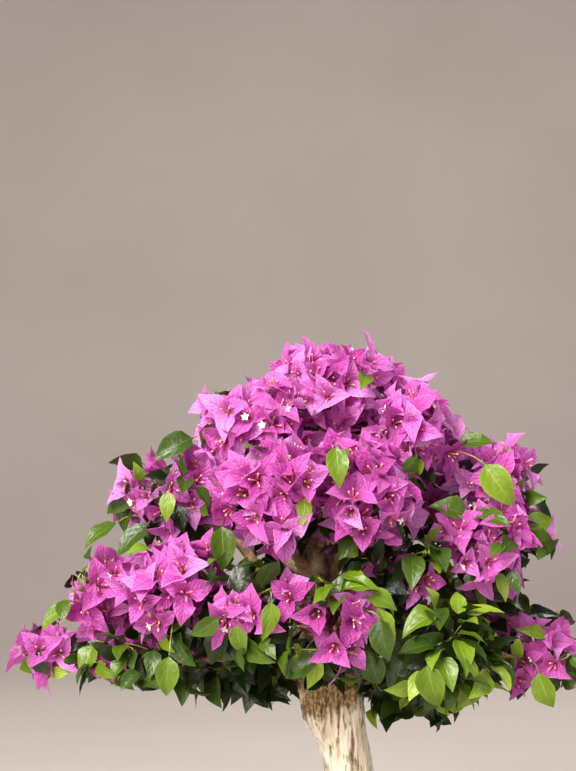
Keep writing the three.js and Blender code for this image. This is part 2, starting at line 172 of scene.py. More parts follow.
def built(name, form, *materials, smooth=True):
    """An object at the origin from a bmesh or a mesh, with its materials."""
    if isinstance(form, bmesh.types.BMesh):
        mesh = bpy.data.meshes.new(name)
        form.to_mesh(mesh)
        form.free()
    else:
        mesh = form
        mesh.name = name
    for material in materials:
        mesh.materials.append(material)
    mesh.polygons.foreach_set("use_smooth", [smooth] * len(mesh.polygons))
    made = bpy.data.objects.new(name, mesh)
    scene.collection.objects.link(made)
    return made


FLOOR_RADIUS = 3.4
WALL_RADIUS = 5.2
WALL_HEIGHT = 4.2
COVE = WALL_RADIUS - FLOOR_RADIUS
COVE_STEPS = 12
ROOM_SIDES = 72
paper, paper_shader = finish("pale_paper", Roughness=0.95)
mottle = grain(paper, 1.2, 3)
coloured(paper, paper_shader, ramp(paper, mottle, (0.3, "#b8aea8"), (0.7, "#bfb6b0")))
profile = [(0.0, 0.0), (FLOOR_RADIUS, 0.0)]
for step in range(1, COVE_STEPS + 1):
    angle = math.pi / 2 * step / COVE_STEPS
    profile.append((FLOOR_RADIUS + COVE * math.sin(angle), COVE * (1 - math.cos(angle))))
profile.append((WALL_RADIUS, WALL_HEIGHT))
cove = bmesh.new()
corners = [cove.verts.new((x, 0, z)) for x, z in profile]
edges = [cove.edges.new(pair) for pair in zip(corners, corners[1:])]
bmesh.ops.spin(
    cove, geom=corners + edges, axis=(0, 0, 1), cent=(0, 0, 0),
    steps=ROOM_SIDES, angle=2 * math.pi, use_merge=True,
)
bmesh.ops.remove_doubles(cove, verts=cove.verts, dist=1e-5)
bmesh.ops.recalc_face_normals(cove, faces=cove.faces)
bmesh.ops.reverse_faces(cove, faces=cove.faces)
floor = built("floor", cove, paper)


CROWN_CENTRE = (0, 0, 0.42)


def lamp(name, place, size, power, code, aim=CROWN_CENTRE):
    """A round lamp that faces the crown, or another place, and that the camera doesn't see."""
    data = bpy.data.lights.new(name, "AREA")
    data.shape = "DISK"
    data.size = size
    data.energy = power
    data.color = colour(code)[:3]
    made = bpy.data.objects.new(name, data)
    made.location = place
    made.rotation_euler = (Vector(aim) - made.location).to_track_quat("-Z", "Y").to_euler()
    made.visible_camera = False
    scene.collection.objects.link(made)


lamp("key_lamp", (-1.25, -1.95, 2.3), 1.7, 212, "#fffaf4")
lamp("low_lamp", (-0.9, -2.5, 0.75), 1.2, 34, "#fff8ee")
lamp("side_lamp", (2.4, -1.6, 1.3), 1.8, 20, "#eef2ff")
lamp("back_lamp", (0.9, 2.4, 2.2), 1.6, 40, "#fff8f0")
lamp("wall_lamp", (0.0, 2.6, 1.5), 1.8, 14, "#fff6ee", aim=(0, 6, 1.7))
world = bpy.data.worlds.new("room")
world.use_nodes = True
world.node_tree.nodes["Background"].inputs["Color"].default_value = colour("#c9cdd6")
world.node_tree.nodes["Background"].inputs["Strength"].default_value = 0.36
scene.world = world
scene.view_settings.view_transform = "Standard"

# ---------------------------------------------------------------- pot
# A shallow oval bowl of unglazed dark clay with a thick rolled rim, fired matt.
# It is thrown and pressed to its oval, so that its wall is smooth with faint rings.
pot_low, pot_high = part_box("pot")
POT_HALF = ((pot_high.x - pot_low.x) / 2, (pot_high.y - pot_low.y) / 2)
POT_HEIGHT = pot_high.z
RIM_HEIGHT = 0.013
RIM_OVERHANG = 0.008
RIM_ROUND = 0.0025
FOOT_INSET = 0.034
FOOT_ROUND = 0.002
POT_WALL = 0.011
POT_FLOOR = 0.011
POT_BULGE = 1.61
POT_SQUARENESS = 2.6
POT_SIDES = 128
WALL_STEPS = 14
HAND_WOBBLE = 0.0004  # how far the hand strays on a wall of the mean radius
POT_MEAN_RADIUS = 0.15
LIP = POT_HEIGHT - RIM_HEIGHT


def oval(angle, inset):
    """A point on the pot's outline, drawn in by inset."""
    power = 2 / POT_SQUARENESS
    across = math.copysign(abs(math.cos(angle)) ** power, math.cos(angle))
    deep = math.copysign(abs(math.sin(angle)) ** power, math.sin(angle))
    return (POT_HALF[0] - inset) * across, (POT_HALF[1] - inset) * deep


def corner(inset, height, first, last, radius=RIM_ROUND, steps=4):
    """A rounded corner of the wall's section, as (inset, height) points round its centre."""
    turns = [math.radians(first + (last - first) * i / steps) for i in range(steps + 1)]
    return [(inset - radius * math.cos(t), height + radius * math.sin(t)) for t in turns]


def rolled(form, rings, sides, place):
    """A grid rolled into a closed tube: place(ring, angle) gives each corner's place."""
    made = bmesh.ops.create_grid(form, x_segments=rings - 1, y_segments=sides, size=1)["verts"]
    for vert in made:
        ring = round((vert.co.x + 1) / 2 * (rings - 1))
        side = round((vert.co.y + 1) / 2 * sides) % sides
        vert.co = place(ring, 2 * math.pi * side / sides)
    bmesh.ops.remove_doubles(form, verts=made, dist=1e-6)


section = [(POT_HALF[1], 0.0)]
section += [(FOOT_INSET + 4 * FOOT_ROUND, 0.0), (FOOT_INSET + FOOT_ROUND, 0.1 * FOOT_ROUND)]
section += [(FOOT_INSET, FOOT_ROUND)]
for step in range(1, WALL_STEPS + 1):
    rise = step / WALL_STEPS
    bulge = (FOOT_INSET - RIM_OVERHANG) * (1 - rise) ** POT_BULGE
    section.append((RIM_OVERHANG + bulge, FOOT_ROUND + (LIP - FOOT_ROUND) * rise))
section += corner(RIM_ROUND, LIP + RIM_ROUND, -80, 0)
section += corner(RIM_ROUND, POT_HEIGHT - RIM_ROUND, 0, 90)
section += corner(POT_WALL + RIM_OVERHANG - RIM_ROUND, POT_HEIGHT - RIM_ROUND, 90, 175)
section += [(POT_WALL + FOOT_INSET, POT_FLOOR), (POT_HALF[1], POT_FLOOR)]


def on_pot(ring, angle):
    inset, height = section[ring]
    x, y = (0, 0) if ring in (0, len(section) - 1) else oval(angle, inset)
    wobble = HAND_WOBBLE * noise.noise(Vector((3 * math.cos(angle), 3 * math.sin(angle), 60 * height)))
    stretch = 1 + wobble / POT_MEAN_RADIUS
    return x * stretch, y * stretch, height


pot_form = bmesh.new()
rolled(pot_form, len(section), POT_SIDES, on_pot)
bmesh.ops.recalc_face_normals(pot_form, faces=pot_form.faces)
clay, clay_shader = finish("unglazed_clay", Roughness=0.72)
clay_speck = grain(clay, 900, 2)
clay_cloud = grain(clay, 22, 5, (1, 1, 2.2))
clay_rings = grain(clay, 60, 2, (0.15, 0.15, 9))
clay_body = ramp(clay, clay_cloud, (0.28, "#3b2a22"), (0.5, "#53392c"), (0.74, "#6d4d3b"))
clay_fleck = ramp(clay, clay_speck, (0.34, "#1d1512"), (0.44, "#ffffff"), (0.7, "#ffffff"))
clay_tint = join_colours(clay, 0.55, clay_body, clay_fleck, "MULTIPLY")
coloured(
    clay, clay_shader, clay_tint, between(clay, clay_cloud, 0.58, 0.86),
    [(clay_rings, 0.0009), (clay_speck, 0.0003)],
)
pot = built("pot_bowl", pot_form, clay)
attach(pot, "root")
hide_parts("pot")

# ---------------------------------------------------------------- soil
# Loose fired grains over a firm root ball, mounded to a flat top round the trunk's foot.
# The grains are joined into one piece, in three shades from dry to damp.
soil_low, soil_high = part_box("soil")
SOIL_BELOW_RIM = 0.009
SOIL_EDGE = POT_HEIGHT - SOIL_BELOW_RIM
SOIL_TOP = soil_high.z
MOUND_RADIUS = 0.064
TRUNK_FOOT = (0.041, 0.002)
MOUND_REACHED = 0.72  # the share of the way in at which the mound's flat top starts
WALL_GAP = 0.0006
FOOT_GAP = 0.001
GRAIN_SINK = 0.003  # how far the ball lies below the grains' tops
LUMP_HEIGHT = 0.0009
LUMP_SCALE = 55
SOIL_RINGS = 26
SOIL_SIDES = 96


def soil_spot(share, angle):
    """A point on the soil, from the pot's wall (share 0) in to the trunk's foot (share 1)."""
    x, y = oval(angle, POT_WALL + RIM_OVERHANG + WALL_GAP)
    reach = min(1, share / MOUND_REACHED)
    level = [x, y]
    flat = [TRUNK_FOOT[0] + MOUND_RADIUS * math.cos(angle), MOUND_RADIUS * math.sin(angle)]
    spot = [a + (b - a) * reach for a, b in zip(level, flat)]
    inward = max(0.0, (share - MOUND_REACHED) / (1 - MOUND_REACHED))
    spot = [s + (c - s) * inward for s, c in zip(spot, TRUNK_FOOT)]
    lift = reach * reach * (3 - 2 * reach)
    height = SOIL_EDGE + lift * (SOIL_TOP - SOIL_EDGE) - GRAIN_SINK
    height += LUMP_HEIGHT * noise.noise(Vector((spot[0] * LUMP_SCALE, spot[1] * LUMP_SCALE, 3)))
    return Vector((spot[0], spot[1], height))


def on_soil(ring, angle):
    if ring == 0:
        return 0, 0, soil_low.z
    if ring == 1:
        return *oval(angle, POT_WALL + FOOT_INSET + FOOT_GAP), soil_low.z
    return soil_spot((ring - 2) / (SOIL_RINGS - 3), angle)


soil_form = bmesh.new()
rolled(soil_form, SOIL_RINGS, SOIL_SIDES, on_soil)
bmesh.ops.recalc_face_normals(soil_form, faces=soil_form.faces)
earth, earth_shader = finish("damp_earth", Roughness=0.95)
earth_lump = grain(earth, 260, 5)
coloured(
    earth, earth_shader,
    ramp(earth, earth_lump, (0.3, "#17100b"), (0.55, "#2e2117"), (0.75, "#4a3828")),
    bumps=[(earth_lump, 0.003)],
)
soil = built("soil_ball", soil_form, earth)
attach(soil, "root")
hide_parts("soil")


def seeded(seed):
    """A repeatable stream of numbers from 0 to 1, the one that the solids grow by."""
    state = seed % 2147483646 + 1
    while True:
        state = state * 48271 % 2147483647
        yield state / 2147483647


def within(limits, share):
    """A value, or values, a share of the way from one limit to the other."""
    return limits[0] + (limits[1] - limits[0]) * share


def pattern(form):
    """A shaped bmesh's corners and faces as arrays, to be copied many times."""
    form.verts.ensure_lookup_table()
    form.verts.index_update()
    spots = np.array([vert.co[:] for vert in form.verts])
    faces = [[vert.index for vert in face.verts] for face in form.faces]
    form.free()
    return spots, faces


def copies(name, places, faces, shades, *materials, slot, replaced=(), across=None, smooth=True):
    """One joined object of many copies: places is (copies, corners, 3), faces are one copy's.

    shades gives each copy's material, and across each corner's place on the piece's own map.
    """
    count, corners_each = places.shape[:2]
    mesh = bpy.data.meshes.new(name)
    sizes = np.array([len(face) for face in faces])
    flat = np.array([index for face in faces for index in face])
    starts = np.concatenate([[0], np.cumsum(sizes)[:-1]])
    mesh.vertices.add(count * corners_each)
    mesh.vertices.foreach_set("co", places.astype(np.float32).ravel())
    mesh.loops.add(count * len(flat))
    loops = (flat[None, :] + corners_each * np.arange(count)[:, None]).ravel()
    mesh.loops.foreach_set("vertex_index", loops.astype(np.int32))
    mesh.polygons.add(count * len(faces))
    begins = (starts[None, :] + len(flat) * np.arange(count)[:, None]).ravel()
    mesh.polygons.foreach_set("loop_start", begins.astype(np.int32))
    mesh.polygons.foreach_set("material_index", np.repeat(shades, len(faces)).astype(np.int32))
    if across is not None:
        chart = mesh.uv_layers.new(name="blade")
        chart.data.foreach_set("uv", np.tile(across[flat], (count, 1)).astype(np.float32).ravel())
    mesh.update(calc_edges=True)
    made = built(name, mesh, *materials, smooth=smooth)
    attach(made, "root")
    if replaced:
        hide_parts(*replaced)


GRAIN_SEED = 11
GRAINS = 4600
GRAIN_SIZE = (0.0014, 0.0026)
GRAIN_SHAPE = (0.8, 1.3)  # squashed to drawn out
GRAIN_HEAP = 0.4  # how far grains lie over and under one another, in grains
GRAIN_SUNK = 0.6
draw = seeded(GRAIN_SEED)
stone = bmesh.new()
bmesh.ops.create_icosphere(stone, subdivisions=1, radius=1)
stone_spots, stone_faces = pattern(stone)
grain_places = []
while len(grain_places) < GRAINS:
    turn = 2 * math.pi * next(draw)
    spot = soil_spot(1 - math.sqrt(next(draw)), turn)
    size = within(GRAIN_SIZE, next(draw) ** 2)
    shape = np.array([within(GRAIN_SHAPE, next(draw)) for _ in range(3)]) * size
    axes = np.linalg.qr(np.array([[next(draw) - 0.5 for _ in range(3)] for _ in range(3)]))[0]
    lift = GRAIN_SINK + GRAIN_HEAP * size * (next(draw) - GRAIN_SUNK)
    grain_places.append((stone_spots * shape) @ axes.T + np.array(spot) + [0, 0, lift])
grain_finishes = []
for label, dark, pale in (
    ("dry", "#7a6248", "#a58a68"), ("brown", "#4f3b2a", "#755a40"), ("damp", "#2b2019", "#46352a"),
):
    made, shader = finish(f"{label}_grain", Roughness=0.92)
    crumb = grain(made, 700, 3)
    coloured(made, shader, ramp(made, crumb, (0.3, dark), (0.7, pale)), bumps=[(crumb, 0.0006)])
    grain_finishes.append(made)
grain_shades = np.arange(GRAINS) * 7 % 5 % len(grain_finishes)  # dealt out unevenly, with no draws
copies(
    "soil_grains", np.array(grain_places), stone_faces, grain_shades, *grain_finishes,
    slot="soil", smooth=False,
)

# ---------------------------------------------------------------- trunk
# An old leaning trunk, debarked to pale cream wood low down, with brown bark left in streaks.
# It swells to a knotted collar under the fork, and its root ridges run out flat on the soil.
TRUNK = [  # x, y, rise over the soil, radius
    (0.044, 0.002, -0.016, 0.052), (0.041, 0.002, 0.0, 0.045), (0.036, 0.001, 0.017, 0.033),
    (0.029, 0.0, 0.05, 0.0275), (0.015, 0.0, 0.102, 0.0265), (0.006, -0.001, 0.146, 0.027),
    (-0.002, 0.0, 0.174, 0.033), (-0.008, 0.002, 0.197, 0.036), (-0.012, 0.001, 0.222, 0.028),
    (-0.014, 0.0, 0.25, 0.0215), (-0.014, 0.001, 0.3, 0.018),
]
TRUNK_RINGS = 230
TRUNK_SIDES = 88
ROOT_RIDGES = 5
TRUNK_SUNK = 0.004  # how far the wood goes down into the soil
RING_STEP = 0.0013
FORK_DOME = 0.014  # the trunk's top closes to a dome over this length
GIRTH_PASSES = 10  # how often the table's corners are rounded off
COLLAR_RISE = 0.197
COLLAR_SPREAD = 0.03
ROOT_SPREAD = 0.016  # how far up the root ridges run
BARK_LINE = 0.15  # the rise at which the bark gets rough, and over how much it does
BARK_BLEND = 0.012
RIDGE_DEPTH = 0.17  # these depths are shares of the radius
FLUTE_DEPTH = 0.045
HOLLOW_DEPTH = 0.05
STRAND_DEPTH = 0.032
BURR_DEPTH = (0.03, 0.16)  # away from the collar, and on it
PLATE_DEPTH = 0.09
CRACK_DEPTH = 0.06
KNOTS = [  # angle from the tree's left towards the front, rise over the soil, size, height
    (0.45, 0.191, 0.011, -0.0042), (0.5, 0.205, 0.009, 0.0032), (0.05, 0.168, 0.013, 0.0056),
    (2.55, 0.19, 0.013, 0.0036), (2.2, 0.178, 0.007, -0.0024), (1.5, 0.207, 0.012, -0.0028),
    (1.15, 0.15, 0.008, 0.0016), (1.9, 0.11, 0.009, -0.0014), (0.9, 0.07, 0.01, 0.0014),
    (4.1, 0.185, 0.012, 0.0034), (5.2, 0.12, 0.01, -0.0018),
]


def evenly(line, count):
    """A line of many points made one of count points, evenly spaced by length."""
    lengths = np.concatenate([[0], np.cumsum(np.linalg.norm(np.diff(line, axis=0), axis=1))])
    wanted = np.linspace(0, lengths[-1], count)
    return np.column_stack([np.interp(wanted, lengths, line[:, axis]) for axis in range(3)])


def curve(points, count):
    """count places, evenly spaced by length, on the centripetal curve through some points."""
    points = np.array(points, float)
    ends = [2 * points[0] - points[1], *points, 2 * points[-1] - points[-2]]
    dense = []
    for p0, p1, p2, p3 in zip(ends, ends[1:], ends[2:], ends[3:]):
        d0, d1, d2 = (math.sqrt(np.linalg.norm(b - a)) for a, b in ((p0, p1), (p1, p2), (p2, p3)))
        out = ((p1 - p0) / d0 - (p2 - p0) / (d0 + d1) + (p2 - p1) / d1) * d1
        back = ((p2 - p1) / d1 - (p3 - p1) / (d1 + d2) + (p3 - p2) / d2) * d1
        t = np.linspace(0, 1, 40, endpoint=False)[:, None]
        bend = -3 * p1 + 3 * p2 - 2 * out - back
        dense.append(p1 + out * t + bend * t**2 + (2 * p1 - 2 * p2 + out + back) * t**3)
    return evenly(np.vstack([*dense, points[-1:]]), count)


def unit(vectors):
    return vectors / np.maximum(np.linalg.norm(vectors, axis=-1, keepdims=True), 1e-9)


SLANT = [0.31, 0.94, 0.12]  # no line runs quite this way


def axes_along(line):
    """A line's directions, and two square to each that don't twist from one to the next."""
    ahead = unit(np.gradient(line, axis=0))
    side = unit(np.cross(ahead[0], SLANT))
    sides = []
    for way in ahead:
        side = unit(side - way * side.dot(way))
        sides.append(side)
    sides = np.array(sides)
    return ahead, sides, np.cross(ahead, sides)


trunk_line = curve([(x, y, SOIL_TOP + rise) for x, y, rise, _ in TRUNK], TRUNK_RINGS)
trunk_line = trunk_line[trunk_line[:, 2] >= SOIL_TOP - TRUNK_SUNK]
_, trunk_side, trunk_front = axes_along(trunk_line)
trunk_rise = trunk_line[:, 2] - SOIL_TOP
trunk_girth = np.interp(trunk_rise, [row[2] for row in TRUNK], [row[3] for row in TRUNK])
for _ in range(GIRTH_PASSES):
    trunk_girth[1:-1] = (trunk_girth[:-2] + 2 * trunk_girth[1:-1] + trunk_girth[2:]) / 4
LAST_RING = len(trunk_line) - 1


def on_trunk(ring, angle):
    """The wood's surface: ridges at the root, flutes, knots at the collar, fine cracks."""
    step = min(max(ring - 1, 0), LAST_RING)
    rise = float(trunk_rise[step])
    round_x, round_y = math.cos(angle), math.sin(angle)
    here = Vector((round_x, round_y, 0))
    ridges = RIDGE_DEPTH * math.exp(-max(rise, 0) / ROOT_SPREAD) * math.cos(ROOT_RIDGES * angle + 0.6)
    flutes = FLUTE_DEPTH * math.cos(3 * angle + 20 * rise)
    flutes += HOLLOW_DEPTH * noise.noise(here * 1.6 + Vector((0, 0, 9 * rise + 4)))
    strands = STRAND_DEPTH * noise.noise(here * 7 + Vector((2, 5, 16 * rise)))
    collar = math.exp(-(((rise - COLLAR_RISE) / COLLAR_SPREAD) ** 2))
    burrs = within(BURR_DEPTH, collar) * noise.noise(here * 2.6 + Vector((0, 7, 42 * rise)))
    rough = 1 / (1 + math.exp(-(rise - BARK_LINE) / BARK_BLEND))
    plates = rough * PLATE_DEPTH * (abs(noise.noise(here * 5 + Vector((8, 1, 70 * rise)))) - 0.25)
    crack = max(0, 0.35 - 4 * abs(noise.noise(here * 4.5 + Vector((3, 3, 7 * rise)))))
    closing = min(1, (LAST_RING - step) * RING_STEP / FORK_DOME)
    girth = float(trunk_girth[step]) * math.sqrt(1 - (1 - closing) ** 2)
    if ring in (0, LAST_RING + 2):
        girth = 0
    girth *= 1 + ridges + flutes + strands + burrs + plates - CRACK_DEPTH * crack
    if girth > 0:
        for knot_angle, knot_rise, wide, high in KNOTS:
            round_by = girth * math.remainder(angle - knot_angle, 2 * math.pi)
            girth += high * math.exp(-((round_by / wide) ** 2) - ((rise - knot_rise) / wide) ** 2)
    spot = trunk_line[step] + girth * (round_x * trunk_side[step] + round_y * trunk_front[step])
    return spot.tolist()


def reckon(material, kind, first, second):
    """What a sum such as ADD or MULTIPLY makes of two values or links."""
    return node(material, "ShaderNodeMath", [(0, first), (1, second)], operation=kind).outputs["Value"]


trunk_form = bmesh.new()
rolled(trunk_form, LAST_RING + 3, TRUNK_SIDES, on_trunk)
bmesh.ops.recalc_face_normals(trunk_form, faces=trunk_form.faces)
wood, wood_shader = finish("pale_debarked_wood", Roughness=0.78)
wood_place = node(wood, "ShaderNodeTexCoord").outputs["Object"]
wood_height = node(wood, "ShaderNodeSeparateXYZ", [("Vector", wood_place)]).outputs["Z"]
wood_streak = grain(wood, 34, 7, (1.6, 1.6, 0.34))
wood_patch = grain(wood, 26, 6, (1, 1, 0.62))
wood_fibre = grain(wood, 240, 5, (1, 1, 0.12))
wood_speck = grain(wood, 420, 3, (1, 1, 0.5))
wood_fleck = grain(wood, 135, 5, (1.5, 1.5, 0.24))
wood_stain = grain(wood, 38, 3, (1, 1, 0.5))
cream = ramp(wood, wood_streak, (0.3, "#c7ae84"), (0.42, "#f7eed6"), (0.6, "#fffbf0"))
bark_left = ramp(wood, wood_speck, (0.3, "#4d3a22"), (0.5, "#95794f"), (0.72, "#d0b98c"))
BARK_FROM = SOIL_TOP + 0.13
BARK_TO = SOIL_TOP + 0.25
upward = between(wood, wood_height, 0.0, 0.3, BARK_FROM, BARK_TO)
bark_value = reckon(wood, "ADD", wood_patch, upward)
bark_share = ramp(wood, bark_value, (0.57, "#000000"), (0.64, "#ffffff"))
wood_tint = join_colours(wood, bark_share, cream, bark_left)
fleck_tint = ramp(wood, wood_fleck, (0.35, "#5f4526"), (0.41, "#bfa276"), (0.46, "#ffffff"))
wood_tint = join_colours(wood, 0.85, wood_tint, fleck_tint, "MULTIPLY")
stain_tint = ramp(wood, wood_stain, (0.3, "#c79f74"), (0.5, "#ffffff"))
wood_tint = join_colours(wood, 0.4, wood_tint, stain_tint, "MULTIPLY")
fibre_tint = ramp(wood, wood_fibre, (0.32, "#8f7a5c"), (0.5, "#ffffff"))
wood_tint = join_colours(wood, 0.4, wood_tint, fibre_tint, "MULTIPLY")
coloured(
    wood, wood_shader, wood_tint,
    bumps=[(wood_patch, 0.003), (wood_fleck, 0.0026), (wood_fibre, 0.0012), (wood_speck, 0.0005)],
)
trunk = built("trunk_wood", trunk_form, wood)
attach(trunk, "root")
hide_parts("trunk")

# ---------------------------------------------------------------- boughs
# Each bough leaves the trunk or another bough with a flared foot, wanders a little, and tapers
# into its own mass of leaf and blossom. Their bark is thin, brown and scarred at old buds.
SEED = 4021
MASSES = {  # centre, reach, parent, share of the parent's length, root radius, share in blossom
    "crown_top": ((-0.004, 0, 0.617), (0.074, 0.074, 0.058), "trunk", 0.97, 0.012, 1.0),
    "upper_left": ((-0.084, -0.035, 0.574), (0.064, 0.072, 0.054), "trunk", 0.955, 0.011, 1.0),
    "upper_right": ((0.08, -0.025, 0.566), (0.054, 0.068, 0.054), "crown_top", 0.34, 0.0065, 1.0),
    "mid_left": ((-0.184, 0, 0.505), (0.064, 0.068, 0.05), "trunk", 0.9, 0.009, 0.65),
    "centre_front": ((-0.066, -0.125, 0.5), (0.064, 0.064, 0.056), "upper_left", 0.28, 0.0065, 0.9),
    "centre_front_right": ((0.02, -0.12, 0.503), (0.06, 0.062, 0.056), "crown_top", 0.2, 0.0065, 0.9),
    "right_upper": ((0.183, 0.005, 0.514), (0.05, 0.062, 0.05), "crown_top", 0.08, 0.0075, 0.85),
    "right_mid": ((0.16, -0.058, 0.446), (0.064, 0.062, 0.048), "right_upper", 0.42, 0.005, 0.6),
    "left_low": ((-0.165, -0.082, 0.404), (0.066, 0.066, 0.05), "trunk", 0.74, 0.008, 0.7),
    "left_outer": ((-0.258, -0.02, 0.386), (0.062, 0.064, 0.052), "trunk", 0.69, 0.01, 0.62),
    "left_tip": ((-0.312, 0, 0.328), (0.052, 0.056, 0.044), "left_outer", 0.6, 0.005, 0.8),
    "left_skirt": ((-0.205, -0.058, 0.328), (0.072, 0.062, 0.042), "left_outer", 0.3, 0.0055, 0.1),
    "centre_low": ((-0.084, -0.128, 0.388), (0.062, 0.062, 0.054), "trunk", 0.8, 0.007, 0.16),
    "centre_low_right": ((-0.01, -0.148, 0.372), (0.056, 0.056, 0.052), "trunk", 0.77, 0.0065, 0.22),
    "left_underside": ((-0.102, 0.002, 0.312), (0.06, 0.064, 0.04), "left_outer", 0.17, 0.005, 0),
    "right_inner": ((0.072, -0.064, 0.415), (0.058, 0.06, 0.054), "trunk", 0.85, 0.0065, 0.08),
    "lower_right": ((0.104, -0.11, 0.342), (0.07, 0.064, 0.052), "trunk", 0.71, 0.008, 0),
    "right_tip": ((0.23, -0.015, 0.322), (0.056, 0.062, 0.05), "right_side", 0.4, 0.0055, 0.3),
    "right_side": ((0.182, 0.036, 0.38), (0.062, 0.066, 0.05), "trunk", 0.68, 0.009, 0.08),
    "right_underside": ((0.078, -0.014, 0.29), (0.05, 0.058, 0.044), "lower_right", 0.3, 0.005, 0),
    "back_top": ((-0.003, 0.1, 0.569), (0.072, 0.062, 0.054), "crown_top", 0.42, 0.006, 0.95),
    "back_left": ((-0.133, 0.105, 0.511), (0.07, 0.062, 0.054), "upper_left", 0.2, 0.007, 0.9),
    "back_right": ((0.117, 0.11, 0.508), (0.068, 0.062, 0.054), "crown_top", 0.14, 0.007, 0.9),
    "back_centre": ((-0.011, 0.165, 0.431), (0.07, 0.058, 0.056), "trunk", 0.87, 0.007, 0.5),
    "back_left_low": ((-0.178, 0.112, 0.368), (0.077, 0.066, 0.05), "trunk", 0.78, 0.008, 0.4),
    "back_right_low": ((0.137, 0.122, 0.347), (0.073, 0.066, 0.05), "trunk", 0.75, 0.008, 0.3),
    "back_low": ((-0.02, 0.135, 0.303), (0.072, 0.062, 0.045), "trunk", 0.65, 0.007, 0.05),
}
NAMES = list(MASSES)
CENTRES = np.array([MASSES[name][0] for name in NAMES])
REACHES = np.array([MASSES[name][1] for name in NAMES])
BLOSSOM = [MASSES[name][5] for name in NAMES]
BOUGH_TAPER = 0.46
BOUGH_SLIMMING = 0.8
BOUGH_THINNEST = 0.0024
BOUGH_ENTRY = 0.62
BOUGH_BENDS = (0.3, 0.65)
BOUGH_WANDER = 0.14
BOUGH_RINGS = 34
BOUGH_SIDES = 10
BOUGH_FLARE = 0.5
FLARE_LENGTH = 2.4  # in the bough's own radii
BOUGH_BARK_DEPTH = 0.2  # shares of the radius
BUD_DEPTH = 0.16
BUD_TURNS = 210  # old buds stand 30 mm apart
LINE_POINTS = 120

limbs = {"trunk": (curve([(x, y, SOIL_TOP + z) for x, y, z, _ in TRUNK], LINE_POINTS), None)}


def grow_bough(name):
    """A bough's line, and its radius along it, after its parent's."""
    centre, reach, parent, share, root, _ = MASSES[name]
    if parent not in limbs:
        grow_bough(parent)
    draws = seeded(SEED + 17 * NAMES.index(name))
    centre = np.array(centre)
    line = limbs[parent][0]
    start = line[round(share * (LINE_POINTS - 1))]
    way = centre - start
    end = centre - way * BOUGH_ENTRY / np.linalg.norm(way / np.array(reach))
    span = end - start
    points = [start]
    for bend in BOUGH_BENDS:
        stray = np.array([next(draws) - 0.5, next(draws) - 0.5, next(draws) - 0.2])
        points.append(start + span * bend + stray * BOUGH_WANDER * np.linalg.norm(span))
    points.append(end)
    tip = max(BOUGH_THINNEST, root * BOUGH_TAPER)
    along = np.linspace(0, 1, LINE_POINTS)
    limbs[name] = (curve(points, LINE_POINTS), root + (tip - root) * along**BOUGH_SLIMMING)


for name in NAMES:
    if name not in limbs:
        grow_bough(name)

bough_form = bmesh.new()
for index, name in enumerate(NAMES):
    full_line, full_girth = limbs[name]
    line = evenly(full_line, BOUGH_RINGS)
    girth = full_girth[np.linspace(0, LINE_POINTS - 1, BOUGH_RINGS).round().astype(int)].copy()
    travelled = np.linspace(0, 1, BOUGH_RINGS) * np.linalg.norm(np.diff(full_line, axis=0), axis=1).sum()
    girth *= 1 + BOUGH_FLARE * np.exp(-travelled / (FLARE_LENGTH * full_girth[0]))
    _, bough_side, bough_front = axes_along(line)

    def on_bough(ring, angle):
        step = min(max(ring - 1, 0), BOUGH_RINGS - 1)
        around = Vector((math.cos(angle), math.sin(angle), index * 3.1))
        ridge = BOUGH_BARK_DEPTH * noise.noise(around * 1.4 + Vector((0, 0, travelled[step] * 90)))
        bud = BUD_DEPTH * max(0, math.sin(travelled[step] * BUD_TURNS + index)) ** 6
        thick = 0 if ring in (0, BOUGH_RINGS + 1) else girth[step] * (1 + ridge + bud)
        turned = math.cos(angle) * bough_side[step] + math.sin(angle) * bough_front[step]
        return (line[step] + thick * turned).tolist()

    rolled(bough_form, BOUGH_RINGS + 2, BOUGH_SIDES, on_bough)
bmesh.ops.recalc_face_normals(bough_form, faces=bough_form.faces)
bark, bark_shader = finish("bough_bark", Roughness=0.82)
bark_cloud = grain(bark, 60, 6)
bark_fine = grain(bark, 520, 4)
bark_tint = ramp(
    bark, bark_cloud, (0.28, "#4a3823"), (0.46, "#86694a"), (0.6, "#b39875"), (0.78, "#d3bf9b")
)
bark_scar = ramp(bark, bark_fine, (0.34, "#5b4a39"), (0.52, "#ffffff"))
coloured(
    bark, bark_shader, join_colours(bark, 0.6, bark_tint, bark_scar, "MULTIPLY"),
    bumps=[(bark_cloud, 0.0016), (bark_fine, 0.0006)],
)
boughs = built("boughs", bough_form, bark)
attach(boughs, "root")
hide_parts(*(f"bough_{name}" for name in NAMES))

# ---------------------------------------------------------------- twigs
# Each mass grows from one stem: twigs fork off it to places spread evenly over the mass's reach,
# and each forks again into shoots. A shoot that would leave its mass's space is not grown.
CLEARANCE = 0.00035
EDGE_STIFFNESS = 5  # how sharply the valleys between masses are kept
TRIES = 60
STRIDE = 7  # deals the tries out over all heights
TWIGS_KEPT = 20
SHOOTS_EACH = 5
TWIG_FROM = 0.25  # the part of a stem that twigs leave
TWIG_ALONG = 0.7
TWIG_STRAY = 0.7
TWIG_SHARE = 0.6
TWIG_BOW = 0.15
TWIG_CLEAR = 0.004  # from a twig's end to a limb
SHOOT_CLEAR = 0.006
SHOOT_SPREAD = (0.36, 0.7)
SHOOT_BOW = 0.12
SHOOT_RISE = -0.72  # a shoot that points further down bears no bloom
MOSTLY_BLOOM = 0.5
REACH_STEPS = np.linspace(0.7, 1.7, 41)  # tried to find the crown's edge
CROWN_EDGE = -0.06
BLOOM_SHARE = (0.8, 1.04)  # of the way to the edge, where shoots end
LEAF_SHARE = (0.7, 1.06)
TWIG_RADII = (0.0019, 0.0012)
SHOOT_RADII = (0.0011, 0.0006)
